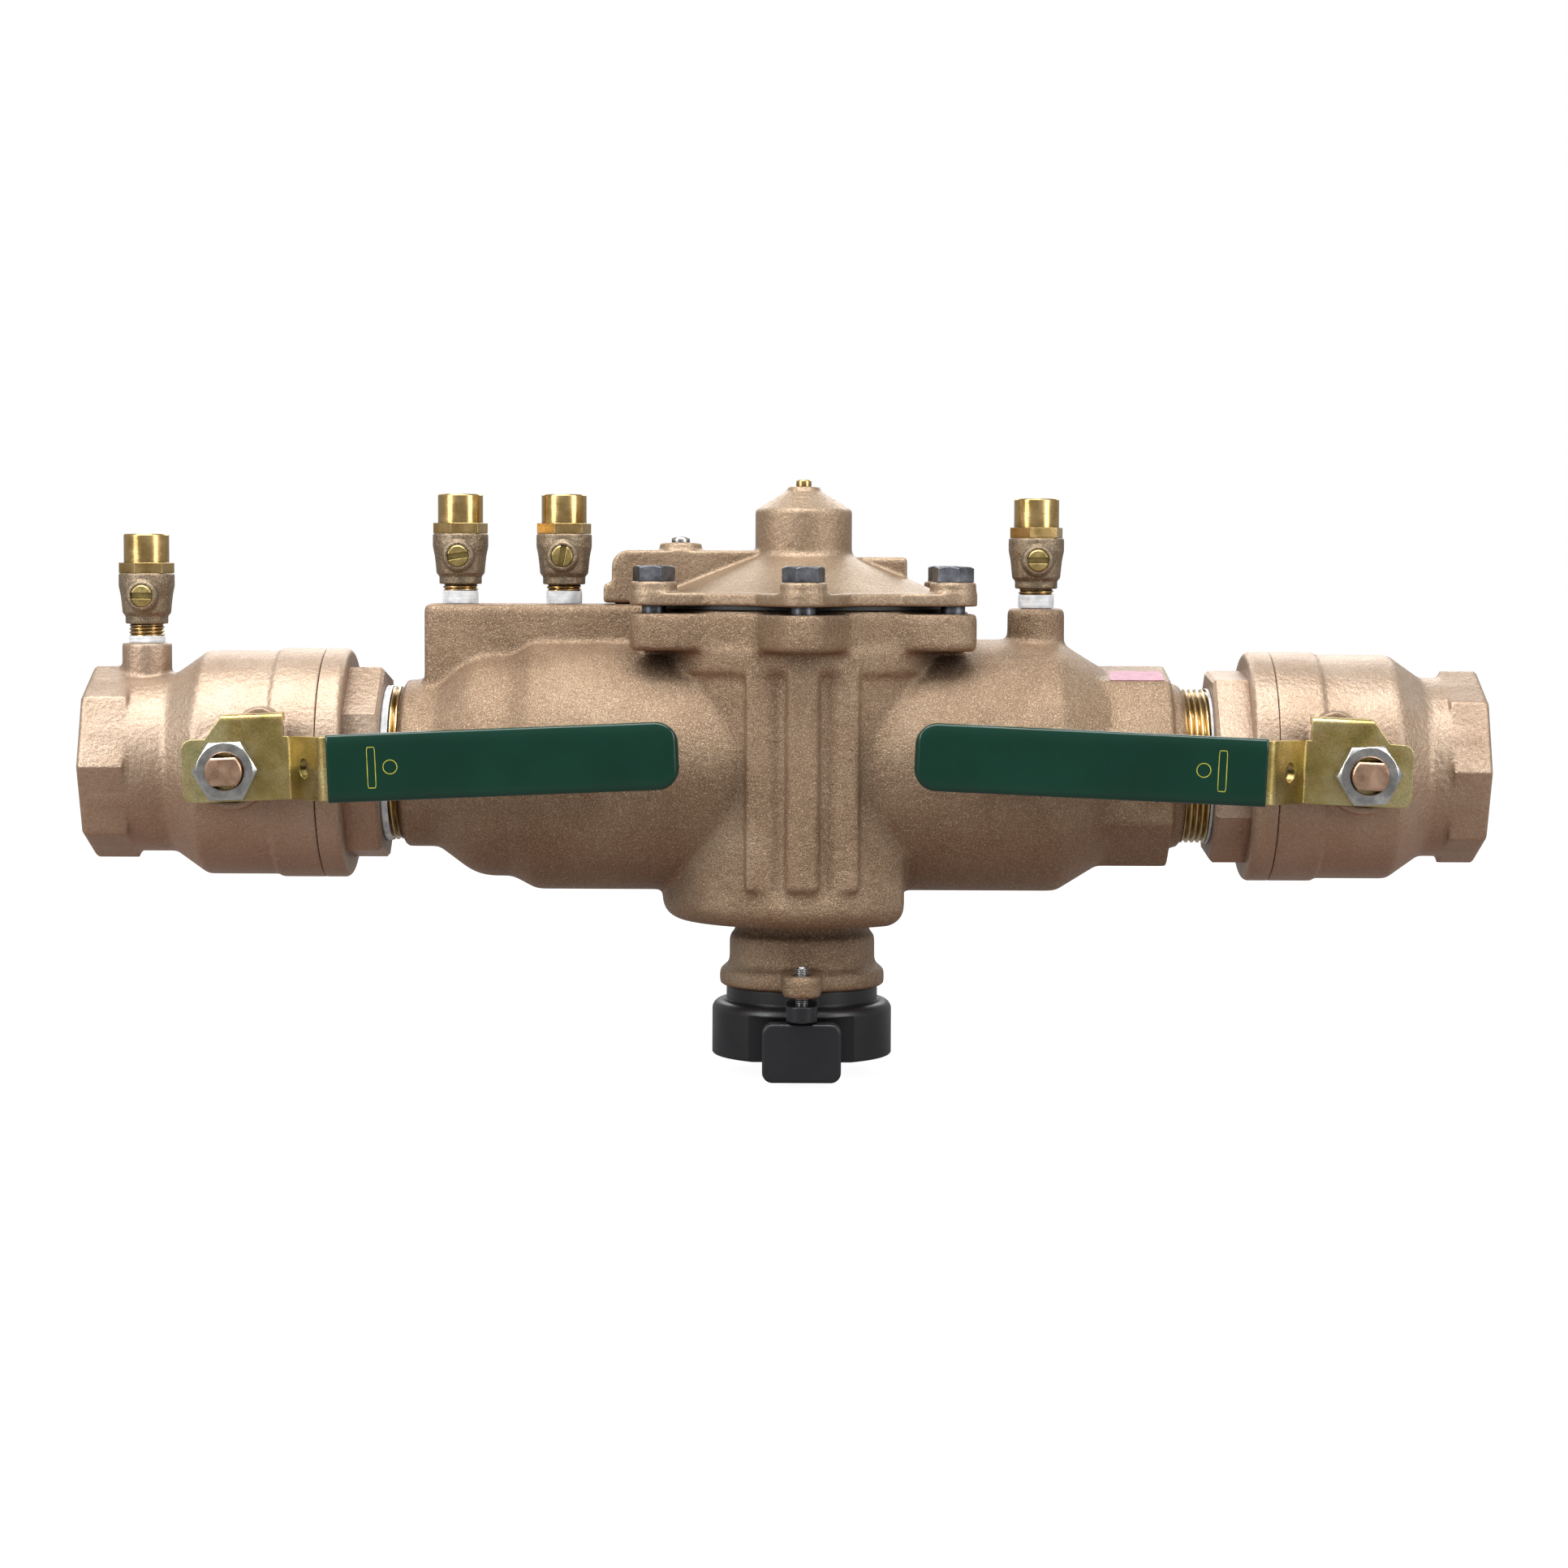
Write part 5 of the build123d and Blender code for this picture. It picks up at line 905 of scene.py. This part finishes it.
def seenAndLit(tree, socket, seen, lit):
    # a strength that the camera sees as one value and the object is lit by as another
    path = tree.nodes.new("ShaderNodeLightPath")
    tree.links.new(rangeOf(tree, path.outputs["Is Camera Ray"], lit, seen, fromLow=0.0, fromHigh=1.0), socket)


floorLook = {"reach": 14.0, "gap": 2 * mm, "tone": (0.16, 0.155, 0.15, 1), "seen": 0.95, "lit": 0.12}
reach, floorHeight = floorLook["reach"], cadLow.z - floorLook["gap"]
floorMesh = bpy.data.meshes.new("studioFloor")
floorMesh.from_pydata([(-reach, -reach, floorHeight), (reach, -reach, floorHeight),
                       (reach, reach, floorHeight), (-reach, reach, floorHeight)], [], [(0, 1, 2, 3)])
floor = bpy.data.objects.new("studioFloor", floorMesh)
bpy.context.scene.collection.objects.link(floor)
floorMaterial, floorTree, floorShader = newMaterial("paleFloor")[:3]
floorShader.inputs["Base Color"].default_value = floorLook["tone"]
floorShader.inputs["Roughness"].default_value = 0.95
floorShader.inputs["Specular IOR Level"].default_value = 0.0
floorShader.inputs["Emission Color"].default_value = (1, 1, 1, 1)
seenAndLit(floorTree, floorShader.inputs["Emission Strength"], floorLook["seen"], floorLook["lit"])
floorMesh.materials.append(floorMaterial)

worldLook = {"seen": 1.0, "lit": 0.42}
world = bpy.data.worlds.new("studioWorld")
bpy.context.scene.world = world
world.use_nodes = True
background = world.node_tree.nodes["Background"]
background.inputs["Color"].default_value = (1, 1, 1, 1)
seenAndLit(world.node_tree, background.inputs["Strength"], worldLook["seen"], worldLook["lit"])

middleX = (cadLow.x + cadHigh.x) / 2
panels = {
    "topPanel": {"place": (middleX - 0.1, -0.35, 1.2), "size": (1.5, 0.7), "power": 24},
    "leftPanel": {"place": (middleX - 1.0, -0.75, 0.55), "size": (0.45, 0.9), "power": 11},
    "rightPanel": {"place": (middleX + 1.0, -0.75, 0.45), "size": (0.45, 0.9), "power": 8},
    "rearPanel": {"place": (middleX, 1.2, 0.7), "size": (1.4, 0.5), "power": 9},
}
for panelName, look in panels.items():
    panel = bpy.data.lights.new(panelName, "AREA")
    panel.shape = "RECTANGLE"
    panel.size, panel.size_y = look["size"]
    panel.energy = look["power"]
    lamp = bpy.data.objects.new(panelName, panel)
    lamp.location = look["place"]
    towards = Vector((middleX, 0, 0)) - Vector(look["place"])
    lamp.rotation_euler = towards.to_track_quat("-Z", "Y").to_euler()
    bpy.context.scene.collection.objects.link(lamp)

cameraLook = {"distance": 1.40, "height": 0.083, "lens": 81.9, "sensor": 36.0, "near": 0.02, "far": 60,
              "pitch": 3.71, "yaw": 0.30, "roll": 0.22}
cameraData = bpy.data.cameras.new("viewCamera")
cameraData.lens = cameraLook["lens"]
cameraData.sensor_width = cameraLook["sensor"]
cameraData.clip_start = cameraLook["near"]
cameraData.clip_end = cameraLook["far"]
camera = bpy.data.objects.new("viewCamera", cameraData)
turnMatrix = (Matrix.Rotation(math.radians(cameraLook["yaw"]), 4, "Z")
              @ Matrix.Rotation(math.radians(90 - cameraLook["pitch"]), 4, "X")
              @ Matrix.Rotation(math.radians(cameraLook["roll"]), 4, "Z"))
cameraPlace = Matrix.Translation((coverAxis, -cameraLook["distance"], cameraLook["height"]))
camera.matrix_world = cameraPlace @ turnMatrix
bpy.context.scene.collection.objects.link(camera)
bpy.context.scene.camera = camera
bpy.context.scene.view_settings.view_transform = "Standard"

print("scene ready")
